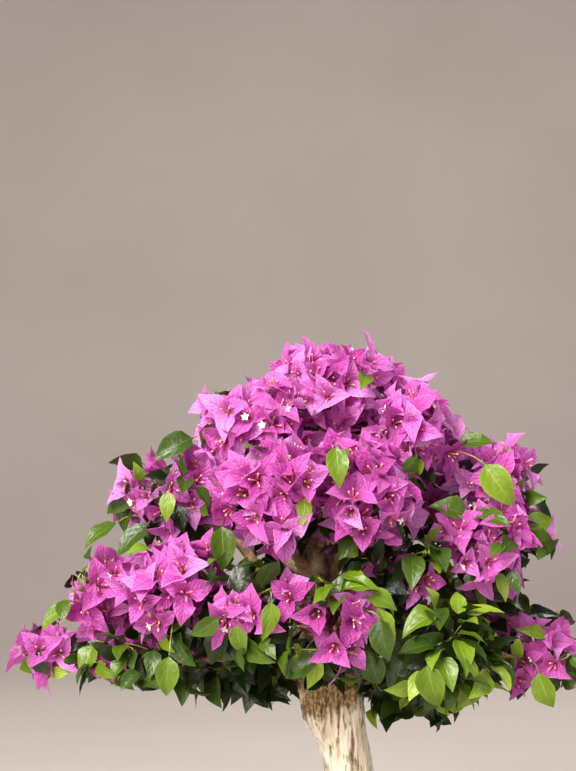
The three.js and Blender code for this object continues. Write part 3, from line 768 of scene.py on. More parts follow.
SHOOT_MARGIN = 0.008  # how far inside the solids' box and the lower edge a shoot ends
STEM_END = 0.0034
STEM_TIP = 0.6
STEM_PAST = (0.35, 0.15, -0.05, -0.25)
STEM_POINTS = 25
STEM_STRIDE = 6  # every so many of them are drawn
LIMB_NEAR = 0.02  # limb points this near a stem's start belong to its own bough
SHOOT_POINTS = 7
SHOOT_MIDDLE = 3
SHORT_POINTS = 4  # with which twigs and shoots are drawn
SHOOT_FROM = 2  # the first point of a twig that bears a shoot
SHOOT_WAYS = (0.6, 0.4)  # its heading: out of the crown, and on from its foot
LIMB_STRIDE = 3  # one point in three of a limb is kept clear of
GOLDEN = 2.39996  # a turn and a share that spread twigs evenly
GOLDEN_SHARE = 0.618
TILT = [0.2, 0.3, 0.93]  # no twig points quite this way
SKY = [  # openings through the crown and bays in its edge, from the front: x, z, half sizes
    (0.094, 0.388, 0.013, 0.011), (0.116, 0.536, 0.014, 0.012), (-0.014, 0.43, 0.015, 0.011),
    (0.176, 0.468, 0.009, 0.007), (0.072, 0.372, 0.007, 0.007), (0.238, 0.408, 0.034, 0.031),
    (0.239, 0.511, 0.013, 0.02), (-0.336, 0.4, 0.034, 0.031), (-0.25, 0.248, 0.05, 0.022),
    (0.25, 0.244, 0.046, 0.024), (-0.1, 0.247, 0.062, 0.022), (-0.2, 0.552, 0.03, 0.012),
    (-0.368, 0.3, 0.026, 0.03), (-0.366, 0.378, 0.028, 0.02), (-0.301, 0.433, 0.026, 0.02),
    (-0.121, 0.64, 0.034, 0.017), (0.245, 0.51, 0.02, 0.024), (0.2, 0.587, 0.045, 0.012),
    (-0.27, 0.52, 0.02, 0.03), (-0.39, 0.345, 0.028, 0.016),
]
CLEAR_LEAVES = [  # large leaves that stand clear of the crown: foot and tip
    ((-0.232, -0.02, 0.475), (-0.27, -0.04, 0.459)), ((-0.15, -0.03, 0.566), (-0.188, -0.06, 0.553)),
    ((0.15, -0.085, 0.54), (0.176, -0.105, 0.497)), ((0.127, -0.04, 0.556), (0.157, -0.06, 0.568)),
    ((-0.119, -0.14, 0.477), (-0.114, -0.16, 0.436)), ((0.037, -0.185, 0.388), (0.04, -0.2, 0.347)),
    ((0.084, -0.175, 0.343), (0.088, -0.19, 0.3)), ((0.208, -0.075, 0.324), (0.214, -0.09, 0.284)),
    ((-0.17, -0.14, 0.347), (-0.174, -0.155, 0.308)), ((-0.21, -0.1, 0.345), (-0.205, -0.11, 0.306)),
    ((-0.005, -0.178, 0.554), (-0.002, -0.2, 0.52)), ((-0.115, -0.13, 0.372), (-0.118, -0.15, 0.334)),
    ((-0.198, -0.04, 0.474), (-0.234, -0.06, 0.449)), ((-0.03, -0.12, 0.342), (-0.036, -0.13, 0.306)),
]
CLEAR_BLOOMS = [  # blooms that stand clear of the crown
    (0.232, -0.06, 0.35), (0.25, -0.02, 0.318), (0.198, -0.06, 0.302), (-0.215, -0.06, 0.318),
    (0.186, -0.075, 0.407), (-0.215, 0.0, 0.475), (0.215, -0.04, 0.54), (0.228, -0.03, 0.46),
    (-0.346, -0.01, 0.341), (-0.313, -0.04, 0.345), (-0.322, -0.02, 0.312), (-0.291, -0.02, 0.392),
    (-0.266, -0.07, 0.362), (0.125, -0.11, 0.46), (0.1, -0.12, 0.415), (-0.055, -0.184, 0.405),
    (-0.092, -0.182, 0.383), (-0.025, -0.19, 0.386), (0.015, -0.192, 0.377), (-0.009, -0.19, 0.351),
    (-0.041, 0.0, 0.66), (0.012, -0.02, 0.664), (0.034, 0.0, 0.656), (0.078, -0.01, 0.628),
    (-0.15, -0.02, 0.583), (-0.2, -0.02, 0.538),
]
SKIRT = [  # the crown's lower edge: x, z
    (-0.37, 0.3), (-0.31, 0.308), (-0.24, 0.308), (-0.17, 0.3), (-0.14, 0.274), (-0.06, 0.274),
    (-0.03, 0.284), (0.04, 0.256), (0.13, 0.256), (0.18, 0.284), (0.28, 0.3),
]


def fill(points):
    """How deep points lie in the crown, as a share of a mass's reach: 0 at a lone mass's edge.

    Where masses meet, their edges run together, so that the crown has no deep valleys.
    """
    outside = np.linalg.norm((points[..., None, :] - CENTRES) / REACHES, axis=-1) - 1
    return np.log(np.exp(-EDGE_STIFFNESS * outside).sum(axis=-1)) / EDGE_STIFFNESS


def in_space(index, points, past=0.2):
    """Whether points lie in a mass's own space, which is nearer to it than to any other mass."""
    points = np.atleast_2d(points)
    sizes = REACHES.mean(axis=1) ** 2
    power = ((points[:, None, :] - CENTRES[None]) ** 2).sum(axis=2) - sizes
    margin = 2 * CLEARANCE * np.linalg.norm(CENTRES - CENTRES[index], axis=1)
    margin[index] = -1
    nearer = (power - power[:, index : index + 1] > margin).all(axis=1)
    return bool((nearer & (fill(points) > -past)).all())


trunk_points = limbs["trunk"][0][::LIMB_STRIDE]
trunk_rises = trunk_points[:, 2] - SOIL_TOP
trunk_radii = np.interp(trunk_rises, [row[2] for row in TRUNK], [row[3] for row in TRUNK])
limb_radii = np.concatenate([trunk_radii, *(limbs[name][1][::LIMB_STRIDE] for name in NAMES)])
limb_points = np.vstack([trunk_points, *(limbs[name][0][::LIMB_STRIDE] for name in NAMES)])


def clear_of_limbs(points, gap):
    """Whether points stand further than a gap from the trunk and every bough."""
    apart = np.linalg.norm(np.atleast_2d(points)[:, None, :] - limb_points[None], axis=2)
    return bool((apart - limb_radii > gap).all())


def shows_sky(points):
    """Whether any point would stand in front of or behind an opening, as seen from the front."""
    points = np.atleast_2d(points)
    scale = LENS_PLANE / (LENS_PLANE + points[:, 1])
    x = camera.location.x + (points[:, 0] - camera.location.x) * scale
    z = camera.location.z + (points[:, 2] - camera.location.z) * scale
    for sky_x, sky_z, wide, high in SKY:
        if (((x - sky_x) / wide) ** 2 + ((z - sky_z) / high) ** 2 < 1).any():
            return True
    return False


def in_box(points, room):
    """Whether points lie in the solids' box, give or take some room, and over the crown's edge."""
    lowest = np.interp(points[:, 0], [x for x, _ in SKIRT], [z for _, z in SKIRT])
    boxed = (points > np.array(cad_low) - room).all() and (points < np.array(cad_high) + room).all()
    return bool(boxed and (points[:, 2] > lowest).all())


def arc(start, lead, end, count):
    """A line that leaves start by way of lead and bends to end."""
    t = np.linspace(0, 1, count)[:, None]
    return (1 - t) ** 2 * start + 2 * t * (1 - t) * lead + t**2 * end


FULL_TURN = 6.28
stem_lines, twig_lines, shoot_lines, shoots = [], [], [], []
for index, name in enumerate(NAMES):
    draws = seeded(SEED + 101 * index + 7)
    fine = seeded(SEED + 211 * index + 13)
    centre, reach = CENTRES[index], REACHES[index]
    line, girth = limbs[name]
    heading = unit(line[-1] - line[-2])
    start = line[-1]
    for past in STEM_PAST:
        hub = centre + heading * past * reach.mean()
        bend = start + heading * 0.5 * np.linalg.norm(hub - start)
        path = arc(start, bend, hub, STEM_POINTS)
        others = np.linalg.norm(limb_points - start, axis=1) > LIMB_NEAR
        apart = np.linalg.norm(path[:, None] - limb_points[None, others], axis=2) - limb_radii[others]
        if (apart > STEM_END + CLEARANCE).all():
            break
    stem = path[::STEM_STRIDE]
    stem_lines.append((stem, np.linspace(girth[-1], STEM_END * STEM_TIP, len(stem))))
    blossom = BLOSSOM[index]
    kept = 0
    for k in range(TRIES):
        level = 1 - (2 * (k * STRIDE % TRIES) + 1) / TRIES
        turn = k * GOLDEN + TWIG_STRAY * next(draws)
        next(draws)  # the solids turn a bloom or a leaf by this draw
        ring = math.sqrt(1 - level * level)
        outward = np.array([math.cos(turn) * ring, math.sin(turn) * ring, level])
        root = path[round((TWIG_FROM + TWIG_ALONG * (k * GOLDEN_SHARE % 1)) * (STEM_POINTS - 1))]
        end = centre + reach * outward * TWIG_SHARE
        if kept == TWIGS_KEPT or not in_space(index, end) or not clear_of_limbs(end, TWIG_CLEAR):
            continue
        kept += 1
        lead = root + 0.5 * (end - root) + TWIG_BOW * np.linalg.norm(end - root) * heading
        twig = arc(root, lead, end, SHOOT_POINTS)
        twig_lines.append((twig[::2], np.linspace(*TWIG_RADII, SHORT_POINTS)))
        side = unit(np.cross(outward, TILT))
        upper = np.cross(side, outward)
        for j in range(SHOOTS_EACH):
            swing = j * GOLDEN + FULL_TURN * next(fine)
            spread = 0.0 if j == 0 else within(SHOOT_SPREAD, next(fine))
            tilt = math.cos(swing) * side + math.sin(swing) * upper
            way = unit(outward + spread * tilt)
            inside = fill(centre + reach * way * REACH_STEPS[:, None]) > CROWN_EDGE
            edge = REACH_STEPS[inside.argmin()]
            share = within(BLOOM_SHARE if blossom > MOSTLY_BLOOM else LEAF_SHARE, next(fine))
            tip = centre + reach * way * edge * share
            from_twig = twig[SHOOT_FROM + round((SHOOT_POINTS - 1 - SHOOT_FROM) * (j + 0.5) / SHOOTS_EACH)]
            if not in_space(index, tip) or not clear_of_limbs(tip, SHOOT_CLEAR) or shows_sky(tip):
                continue
            if not in_box((tip - [0, 0, SHOOT_MARGIN])[None], -SHOOT_MARGIN):
                continue
            span = tip - from_twig
            bow = from_twig + 0.5 * span + SHOOT_BOW * np.linalg.norm(span) * outward
            shoot = arc(from_twig, bow, tip, SHOOT_POINTS)
            in_bloom = next(fine) < blossom and way[2] > SHOOT_RISE
            heads = unit(SHOOT_WAYS[0] * way + SHOOT_WAYS[1] * unit(span))
            shoots.append((index, shoot, heads, in_bloom))

feet = np.array([foot for foot, _ in CLEAR_LEAVES])
tips = np.array([tip for _, tip in CLEAR_LEAVES])
shoot_middles = np.array([shoot[SHOOT_MIDDLE] for _, shoot, _, _ in shoots])
last_used = [0] * len(shoots)  # each shoot is cut back to its last leaf or bloom
CLEAR_BOW = [0, 0, 0.006]
for foot, tip in zip(feet, tips):
    nearest = np.linalg.norm(shoot_middles - foot, axis=1).argmin()
    last_used[nearest] = SHOOT_MIDDLE
    joint = shoot_middles[nearest]
    line = arc(joint, foot + 0.4 * (joint - foot) + CLEAR_BOW, foot + 0.1 * (tip - foot), SHOOT_POINTS)
    shoot_lines.append((line[::2], np.linspace(*SHOOT_RADII, SHORT_POINTS)))

STEM_SIDES = 7
SHOOT_SIDES = 5


def tubes(name, lines, sides, material, slot):
    """Tubes along many lines of equally many points, closed at both ends, joined into one piece."""
    count = len(lines[0][0])

    def on_tube(ring, angle):
        closed = ring in (0, count + 1)
        return (ring, 0, 0) if closed else (ring, math.cos(angle), math.sin(angle))

    form = bmesh.new()
    rolled(form, count + 2, sides, on_tube)
    bmesh.ops.recalc_face_normals(form, faces=form.faces)
    spots, faces = pattern(form)
    centres = np.array([line for line, _ in lines])
    radii = np.array([radius for _, radius in lines])
    ahead = unit(np.gradient(centres, axis=1))
    side = unit(np.cross(ahead, SLANT))
    front = np.cross(ahead, side)
    step = np.clip(spots[:, 0].round().astype(int) - 1, 0, count - 1)
    girth = radii[:, step, None]
    places = centres[:, step] + girth * (spots[:, 1:2] * side[:, step] + spots[:, 2:3] * front[:, step])
    copies(name, places, faces, np.zeros(len(lines)), material, slot=slot)


twig_bark, twig_shader = finish("young_bark", Roughness=0.7)
twig_cloud = grain(twig_bark, 110, 4)
twig_fine = grain(twig_bark, 900, 3)
coloured(
    twig_bark, twig_shader,
    ramp(twig_bark, twig_cloud, (0.3, "#4f3c22"), (0.55, "#8a7146"), (0.76, "#b7a170")),
    bumps=[(twig_fine, 0.0004)],
)
green_bark, green_shader = finish("green_shoot", Roughness=0.55)
green_cloud = grain(green_bark, 90, 3)
coloured(
    green_bark, green_shader,
    ramp(green_bark, green_cloud, (0.32, "#6b4a34"), (0.5, "#7d7a3a"), (0.7, "#94a548")),
    bumps=[(green_cloud, 0.0003)],
)
tubes("stems", stem_lines, STEM_SIDES, bark, "bark")
tubes("twigs", twig_lines, SHOOT_SIDES, twig_bark, "bark")

# ---------------------------------------------------------------- blooms
# A bloom is three papery bracts that stand on one stalk, cupped round three slender tube flowers.
# Each bract is a pointed heart with a midrib, flaring outwards at its tip, in shades of magenta.
BLOOM_SEED = 77
BRACT_LENGTH = 0.0295
BRACT_WIDTH = 0.0218
MOUTH = 0.62 * BRACT_LENGTH  # from a bloom's base to the middle of its mouth
MOUTH_REACH = 0.8 * BRACT_LENGTH  # how far a bloom may spread to each side
BLOOM_SIZE = (0.76, 1.12)
BLOOM_APART = 0.0185
BLOOM_BACK = 0.014
BLOOM_PAST = 0.16  # how far past the crown's edge a bloom's mouth may be
BUNCH_WIDTH = (0.012, 0.024)
BUNCH_DROP = (0.004, 0.013)  # how far blooms sit behind a shoot's tip: the first, and the others
LEAF_ROOM = 0.02
STALK_RADII = np.array([0.0005, 0.0005, 0.00065])
STALK_SIDES = 3
STALK_SINK = 0.001
STALK_BOW = 0.002
BLOOMS_EACH = 5
BLOOMS_FEWER = 3  # on a shoot of a mass that is partly in leaf
FULL_BLOOM = 0.7
BLOOM_TILT = [0.21, 0.35, 0.91]
CLEAR_LEAN = np.array([0.5, 1.1, 0.5])  # blooms turn somewhat to the front and up
CLEAR_STRAY = 0.7
BLOOM_LEAN = np.array([0.5, 0.72, 0.36])
BLOOM_STRAY = 0.9
BLOOM_SPLAY = 0.95
HIDDEN_SHARE = 0.72
HIDDEN_AHEAD = 0.02
EDGE_ROOM = 0.004  # how far past the solids a bloom or leaf may reach
BRACT_ACROSS = 6
BRACT_ALONG = 8


def blade_pattern(across, along, width_at, crowd=0.35):
    """A flat blade one long and two wide at most, as corners, faces and its own map."""
    form = bmesh.new()
    bmesh.ops.create_grid(form, x_segments=across, y_segments=along, size=1)
    for vert in form.verts:
        rise = (vert.co.y + 1) / 2
        rise = (1 - crowd) * rise + crowd * (1 - math.cos(math.pi * rise)) / 2
        vert.co = (vert.co.x * width_at(rise), rise, 0)
    bmesh.ops.remove_doubles(form, verts=form.verts, dist=1e-4)
    spots, faces = pattern(form)
    half = np.array([max(width_at(rise), 1e-6) for rise in spots[:, 1]])
    return spots, faces, np.column_stack([0.5 + 0.5 * spots[:, 0] / half, spots[:, 1]])


LONG_RIPPLE = 9
SHORT_RIPPLE = 15


def blades(spots, base, ahead, above, sizes, bend, tip, fold, cup, wave, phase):
    """Every copy of a blade, from its base along ahead, its upper side facing above.

    bend is how far it turns away from its upper side, tip how far its point curls past that,
    fold how its halves rise from the midrib, cup how its edges rise, wave how they ripple.
    """
    x, v = spots[None, :, 0], spots[None, :, 1]
    bend, tip, fold, cup, wave, phase = (np.asarray(a)[:, None] for a in (bend, tip, fold, cup, wave, phase))
    length, half = sizes[:, 0:1], sizes[:, 1:2] / 2
    bend = np.where(np.abs(bend) < 1e-3, 1e-3, bend)
    forward = length * np.sin(bend * v) / bend
    sunk = length * (1 - np.cos(bend * v)) / bend + length * tip * v**3
    raised = half * (fold * np.abs(x) + cup * x * x)
    raised = raised + half * wave * x * np.abs(x) * np.sin(LONG_RIPPLE * v + phase)
    raised = raised + half * 0.6 * wave * np.abs(x) ** 2 * np.sin(SHORT_RIPPLE * v + 2 * phase)
    narrow = 1 - 0.3 * (fold + cup) ** 2 * np.abs(x)
    beside = np.cross(ahead, above)
    ahead, above, beside = (a[:, None, :] for a in (ahead, above, beside))
    lean = (bend * v)[..., None]
    turned = np.cos(lean) * above + np.sin(lean) * ahead
    place = base[:, None, :] + forward[..., None] * ahead - sunk[..., None] * above
    return place + (half * x * narrow)[..., None] * beside + raised[..., None] * turned


def bract_width(v):
    """A bract's width from its foot (0) to its tip (1): a heart that draws out to a point."""
    heart = v**0.55 * (1 - v) ** 0.64 / 0.44
    return heart * (1 - 0.62 * max(0, v - 0.58) / 0.42)


def hidden(index, points):
    """Whether any point lies well inside another mass, where it would not be seen."""
    apart = np.linalg.norm((np.atleast_2d(points)[:, None, :] - CENTRES[None]) / REACHES[None], axis=2)
    apart[:, index] = 1
    return bool((apart < HIDDEN_SHARE).any())


draws = seeded(BLOOM_SEED)
blooms, stalk_lines = [], []
bloom_spots = np.array(CLEAR_BLOOMS)
for spot in bloom_spots:
    stray = np.array([next(draws) for _ in range(3)]) - CLEAR_LEAN
    facing = unit(unit(spot - CROWN_CENTRE) + CLEAR_STRAY * stray)
    base = spot - MOUTH * facing
    nearest = np.linalg.norm(shoot_middles - base, axis=1).argmin()
    last_used[nearest] = SHOOT_MIDDLE
    joint = shoot_middles[nearest]
    blooms.append((base, facing))
    stalk = arc(joint, joint + 0.5 * (base - joint), base + STALK_SINK * facing, len(STALK_RADII))
    stalk_lines.append((stalk, STALK_RADII))
for number, (index, shoot, way, in_bloom) in enumerate(shoots):
    if not in_bloom:
        continue
    side = unit(np.cross(way, BLOOM_TILT))
    upper = np.cross(side, way)
    for order in range(BLOOMS_EACH if BLOSSOM[index] > FULL_BLOOM else BLOOMS_FEWER):
        stray = np.array([next(draws) for _ in range(3)]) - BLOOM_LEAN
        swing = order * GOLDEN + FULL_TURN * next(draws)
        beside = math.cos(swing) * side + math.sin(swing) * upper
        away = 0 if order == 0 else 1
        facing = unit(way + BLOOM_SPLAY * away * beside + BLOOM_STRAY * stray)
        step = SHOOT_POINTS - 2 - order % 3
        joint = shoot[step]
        aside = away * within(BUNCH_WIDTH, next(draws))
        heart = shoot[-1] + aside * beside - BUNCH_DROP[away] * way
        base = heart - facing * BLOOM_BACK
        middle = base + facing * MOUTH
        mouth = base + facing * BRACT_LENGTH
        around = [mouth + MOUTH_REACH * turn for turn in (side, -side, upper, -upper)]
        if np.linalg.norm(bloom_spots - middle, axis=1).min() < BLOOM_APART:
            continue
        if np.linalg.norm((feet + tips) / 2 - middle, axis=1).min() < LEAF_ROOM:
            continue
        if not in_space(index, middle, BLOOM_PAST) or hidden(index, middle + HIDDEN_AHEAD * facing):
            continue
        if not in_box(np.array(around), EDGE_ROOM) or shows_sky(around + [base]):
            continue
        if not clear_of_limbs(base, TWIG_CLEAR):
            continue
        bloom_spots = np.vstack([bloom_spots, middle])
        last_used[number] = max(last_used[number], step)
        blooms.append((base, facing))
        bend = joint + 0.5 * (base - joint) + STALK_BOW * way
        stalk = arc(joint, bend, base + STALK_SINK * facing, len(STALK_RADII))
        stalk_lines.append((stalk, STALK_RADII))

# Each bloom has twelve draws: three for its turn, then its size, how open it is, one for each
# bract, and its width, bend, fold and ripple.
count = len(blooms)
chance = np.array([[next(draws) for _ in range(12)] for _ in range(count)])
base = np.array([b[0] for b in blooms])
facing = np.array([b[1] for b in blooms])
side = unit(np.cross(facing, unit(chance[:, :3] - 0.5)))
front = np.cross(facing, side)
size = within(BLOOM_SIZE, chance[:, 3])
openness = chance[:, 4]
bract_spots, bract_faces, bract_chart = blade_pattern(BRACT_ACROSS, BRACT_ALONG, bract_width)
bract_places, bract_shades = [], []
SHADE_CUTS = (0.22, 0.5, 0.78)
HEART_RADIUS = 0.0016
BRACT_LEAN = (14, 48)  # degrees from the bloom's axis, on a closed bloom and an open one
BRACT_BEND = (12, 50)
LEAN_STRAY = 10
BEND_STRAY = 16
BRACT_CUP = (0.34, 0.08)
BRACT_CURL = (0.1, 0.4)
BRACT_FOLD = (0.12, 0.22)
BRACT_WAVE = (0.2, 0.44)
BRACT_EVEN = (0.94, 1.06)
BRACT_STRAY = 0.3
for third in range(3):
    own = chance[:, 5 + third]
    turn = 2 * math.pi * third / 3 + BRACT_STRAY * (own - 0.5)
    out = np.cos(turn)[:, None] * side + np.sin(turn)[:, None] * front
    lean = within(BRACT_LEAN, openness) + LEAN_STRAY * (chance[:, 8] - 0.5)
    lean = np.radians(lean)[:, None]
    ahead = np.cos(lean) * facing + np.sin(lean) * out
    above = np.sin(lean) * facing - np.cos(lean) * out
    length = BRACT_LENGTH * size * within(BRACT_EVEN, own)
    width = BRACT_WIDTH * size * within(BRACT_EVEN, chance[:, 8])
    bend = within(BRACT_BEND, openness) + BEND_STRAY * (chance[:, 9] - 0.5)
    bract_places.append(blades(
        bract_spots, base + HEART_RADIUS * out, ahead, above, np.column_stack([length, width]),
        bend=np.radians(bend), tip=within(BRACT_CURL, own), fold=within(BRACT_FOLD, chance[:, 10]),
        cup=within(BRACT_CUP, openness), wave=within(BRACT_WAVE, chance[:, 11]),
        phase=FULL_TURN * chance[:, (9 + third) % 12],
    ))
    bract_shades.append(np.searchsorted(SHADE_CUTS, 0.7 * chance[:, 6] + 0.3 * own))
bract_places = np.concatenate(bract_places)
bract_shades = np.concatenate(bract_shades)


VEIN_WANDER = 0.16
VEIN_WIDTH = 0.1
MIDRIB_SIDES = (0.008, 0.034)  # across a blade, from its middle
RIM_HIGHLIGHT_SIDES = (0.38, 0.5)


def veined(name, body, vein, edge, glow, veins, slant, faint, bulge, roughness=0.5, **sockets):
    """A thin blade's finish: side veins slant up from a midrib, and light glows through it.

    glow is the share of light let through, faint how strongly side veins show, bulge their height.
    """
    made, shader = finish(name, Roughness=roughness, **sockets)
    links = made.node_tree.links
    chart = node(made, "ShaderNodeUVMap", uv_map="blade").outputs["UV"]
    split = node(made, "ShaderNodeSeparateXYZ", [("Vector", chart)])

    def reckoned(kind, first, second):
        return reckon(made, kind, first, second)

    aside = reckoned("ABSOLUTE", reckoned("SUBTRACT", split.outputs["X"], 0.5), 0)
    climb = reckoned("SUBTRACT", split.outputs["Y"], reckoned("MULTIPLY", aside, slant))
    climb = reckoned("ADD", climb, reckoned("MULTIPLY", grain(made, 160, 2), VEIN_WANDER))
    wave = reckoned("PINGPONG", reckoned("MULTIPLY", climb, veins), 0.5)
    side_vein = between(made, wave, 1.0, 0.0, 0.0, VEIN_WIDTH)
    midrib = between(made, aside, 1.0, 0.0, *MIDRIB_SIDES)
    lines = reckoned("MAXIMUM", reckoned("MULTIPLY", midrib, 0.8), reckoned("MULTIPLY", side_vein, faint))
    # The blade grows paler from its foot to its tip, so its deeper foot paints the shade in a bloom's heart.
    # It also grows paler at its rims, as a painted highlight. The cloud is the blade's own uneven tone.
    margin = between(made, split.outputs["Y"], -0.25, 0.75)
    rim = between(made, aside, 0.0, 0.7, *RIM_HIGHLIGHT_SIDES)
    cloud = reckoned("MULTIPLY", grain(made, 55, 4), 0.5)
    paling_and_highlight = reckoned("ADD", reckoned("ADD", margin, cloud), rim)
    tint = join_colours(made, paling_and_highlight, colour(body), colour(edge))
    tint = join_colours(made, lines, tint, colour(vein))
    relief = reckoned("ADD", reckoned("MULTIPLY", lines, -0.5), reckoned("MULTIPLY", wave, 0.8))
    coloured(made, shader, tint, bumps=[(relief, bulge), (grain(made, 210, 5), 2.5 * bulge)])
    through = node(made, "ShaderNodeBsdfTranslucent")
    links.new(tint, through.inputs["Color"])
    mixed = node(made, "ShaderNodeMixShader", [("Fac", glow)])
    links.new(shader.outputs["BSDF"], mixed.inputs[1])
    links.new(through.outputs["BSDF"], mixed.inputs[2])
    links.new(mixed.outputs["Shader"], made.node_tree.nodes["Material Output"].inputs["Surface"])
    return made


# Each edge colour is the painted highlight on a blade's rims and tip, and its body colour is deepened
# towards the foot as painted shade.
BRACT_TINTS = [  # name, body, vein, edge
    ("deep_bract", "#ae268c", "#801866", "#c348ad"),
    ("magenta_bract", "#c83eaa", "#962680", "#d966c5"),
    ("orchid_bract", "#d558c0", "#a43a94", "#e280d5"),
    ("pale_bract", "#de74cf", "#b650a8", "#ea9de5"),
]
bract_finishes = [
    veined(name, body, vein, edge, 0.42, 6, 0.7, 0.55, 0.0008, roughness=0.48, Sheen_Weight=0.2)
    for name, body, vein, edge in BRACT_TINTS
]
BRACT_PIECES = 3
piece_of = np.arange(len(bract_places)) % count % BRACT_PIECES
blossom_nodes = [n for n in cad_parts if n.startswith("blossom_")]
for part in range(BRACT_PIECES):
    chosen = piece_of == part
    copies(
        f"bracts_{part + 1}", bract_places[chosen], bract_faces, bract_shades[chosen], *bract_finishes,
        slot="bracts", replaced=blossom_nodes if part == 0 else (), across=bract_chart,
    )

# ---------------------------------------------------------------- tube flowers
# Three slender tubes stand at each bloom's heart, rose below and cream at their closed tips.
# On a few blooms one tube is open, as a small white star of five lobes.
TUBE_LENGTH = 0.0125
TUBE_RADIUS = 0.0011
STAR_RADIUS = 0.0048
STAR_SIDES = 20
STAR_LOBES = 5
STAR_NOTCH = 0.26
STAR_DEPTH = 0.28
STAR_CURL = 0.1
STAR_TILT = [0.3, 0.2, 0.93]
STAR_SHARE = 0.11
STAR_AHEAD = 0.0042  # an open star stands this far past its tube
TUBE_FOOT = 0.002
TUBE_APART = 0.0014
TUBE_BOW = 0.0012
TUBE_SPLAY = 0.0042
TUBE_STRAY = 0.4
TUBE_EVEN = (0.75, 1.1)
SPLAY_EVEN = (0.6, 1.6)
TUBE_GIRTH = np.array([0.9, 1.15, 0.85, 0.8])
TIP_STEPS = (0, 0.0014, 0.0032)
TIP_GIRTH = np.array([0.82, 1.1, 0.4])
tube_lines, tip_lines, star_bases, star_ways = [], [], [], []
for i in range(count):
    for third in range(3):
        turn = 2 * math.pi * third / 3 + TUBE_STRAY * chance[i, 5 + third]
        out = math.cos(turn) * side[i] + math.sin(turn) * front[i]
        foot = base[i] + TUBE_FOOT * facing[i] + TUBE_APART * out
        length = TUBE_LENGTH * size[i] * within(TUBE_EVEN, chance[i, third])
        lead = foot + 0.5 * length * facing[i] + TUBE_BOW * out
        head = foot + length * facing[i] + TUBE_SPLAY * out * within(SPLAY_EVEN, chance[i, 9])
        path = arc(foot, lead, head, len(TUBE_GIRTH) + 1)
        tube_lines.append((path[:-1], TUBE_RADIUS * TUBE_GIRTH))
        tip = unit(path[-1] - path[-2])
        tip_lines.append((np.array([path[-2] + step * tip for step in TIP_STEPS]), TUBE_RADIUS * TIP_GIRTH))
        if chance[i, 10] < STAR_SHARE and third == 0:
            star_bases.append(path[-2] + STAR_AHEAD * tip)
            star_ways.append(tip)
rose, rose_shader = finish("rose_tube", Roughness=0.5)
coloured(rose, rose_shader, ramp(rose, grain(rose, 160, 2), (0.3, "#b02a5e"), (0.7, "#e0708e")))
ivory, ivory_shader = finish("cream_tip", Roughness=0.5)
coloured(ivory, ivory_shader, ramp(ivory, grain(ivory, 200, 2), (0.3, "#cb8278"), (0.7, "#e6ba96")))
tubes("flower_tubes", tube_lines, SHOOT_SIDES, rose, "bracts")
tubes("stalks", stalk_lines, STALK_SIDES, green_bark, "bark")
tubes("flower_tips", tip_lines, SHOOT_SIDES, ivory, "bracts")

star = bmesh.new()
bmesh.ops.create_circle(star, cap_ends=True, cap_tris=True, segments=STAR_SIDES, radius=1)
for vert in star.verts:
    turn = math.atan2(vert.co.y, vert.co.x)
    lobe = math.cos(STAR_LOBES * turn)
    wide = 1 - STAR_NOTCH + STAR_NOTCH * lobe
    across = vert.co.length
    vert.co = (vert.co.x * wide, vert.co.y * wide, STAR_CURL * across * lobe - STAR_DEPTH * (1 - across))
star_spots, star_faces = pattern(star)
star_ways = unit(np.array(star_ways))
star_side = unit(np.cross(star_ways, STAR_TILT))
star_front = np.cross(star_ways, star_side)
star_axes = np.stack([star_side, star_front, star_ways], axis=1)
star_places = STAR_RADIUS * np.einsum("kc,ncd->nkd", star_spots, star_axes)
star_places += np.array(star_bases)[:, None, :]
white, white_shader = finish("white_star", Roughness=0.45)
coloured(white, white_shader, ramp(white, grain(white, 300, 2), (0.3, "#f3ecd2"), (0.7, "#fffdf4")))
copies("open_stars", star_places, star_faces, np.zeros(len(star_places)), white, slot="bracts")

# ---------------------------------------------------------------- leaves
# Leaves are thick, glossy and folded along a pale midrib, with a drawn-out tip that hangs down.
# They stand by turns along each shoot on short stalks, old ones darker and young ones lime green; the
# darkest tints, on leaves deep in the crown, under it or shadowed from the lamp, are painted shade.
LEAF_SEED = 909
LEAF_LENGTH = (0.028, 0.049)
LEAF_WIDTH = (0.48, 0.62)  # as a share of its length
LEAF_APART = 0.0145
LEAF_IN_BLOOM = 0.8  # leaves among blossom are smaller
LEAF_CEILING = 0.65  # above this the crown is all blossom
LEAF_PAST = (0.16, 0.3)  # how far past the crown's edge a leaf's middle and its point may be
LIMB_CLEAR = 0.003
BLOOM_CLEAR = 0.019  # from the middle of a leaf to a bloom
CLEAR_BLOOM_ROOM = 1.3 * BLOOM_CLEAR
LEAF_TURN = 2.2
LEAF_WAYS = (0.7, 0.95, 0.45)  # its heading: along its shoot, round it, and out of the crown
LEAF_DROOP = (0.25, 0.75)
LEAF_FACES = (0.7, 0.6, 1.5)  # its upper side: out of the crown, up, and by chance
LEAF_MIDDLE = 0.55
LEAF_POINT = (0.93, 0.15)  # where its point is, ahead and sunk, in its own lengths
CLEAR_TILT = (-0.8, 0.4)
CLEAR_LENGTH = 1.08  # a bent leaf is longer than the way from its foot to its point
BLOOM_STEPS = (1, 2, 3, 4)  # the points of a shoot that bear a leaf
LEAF_STEPS = (1, 2, 2, 3, 3, 4, 4, 5, 5, 6, 6, 6, 6)


def leaf_width(v):
    """A leaf's width from its stalk's foot (0) to its drawn-out tip (1)."""
    stalk = 0.035
    if v < 0.14:
        return stalk
    t = (v - 0.14) / 0.86
    return stalk * (1 - t) + t**0.56 * (1 - t) ** 0.84 / 0.4 * (1 - 0.42 * max(0, t - 0.5) / 0.5)


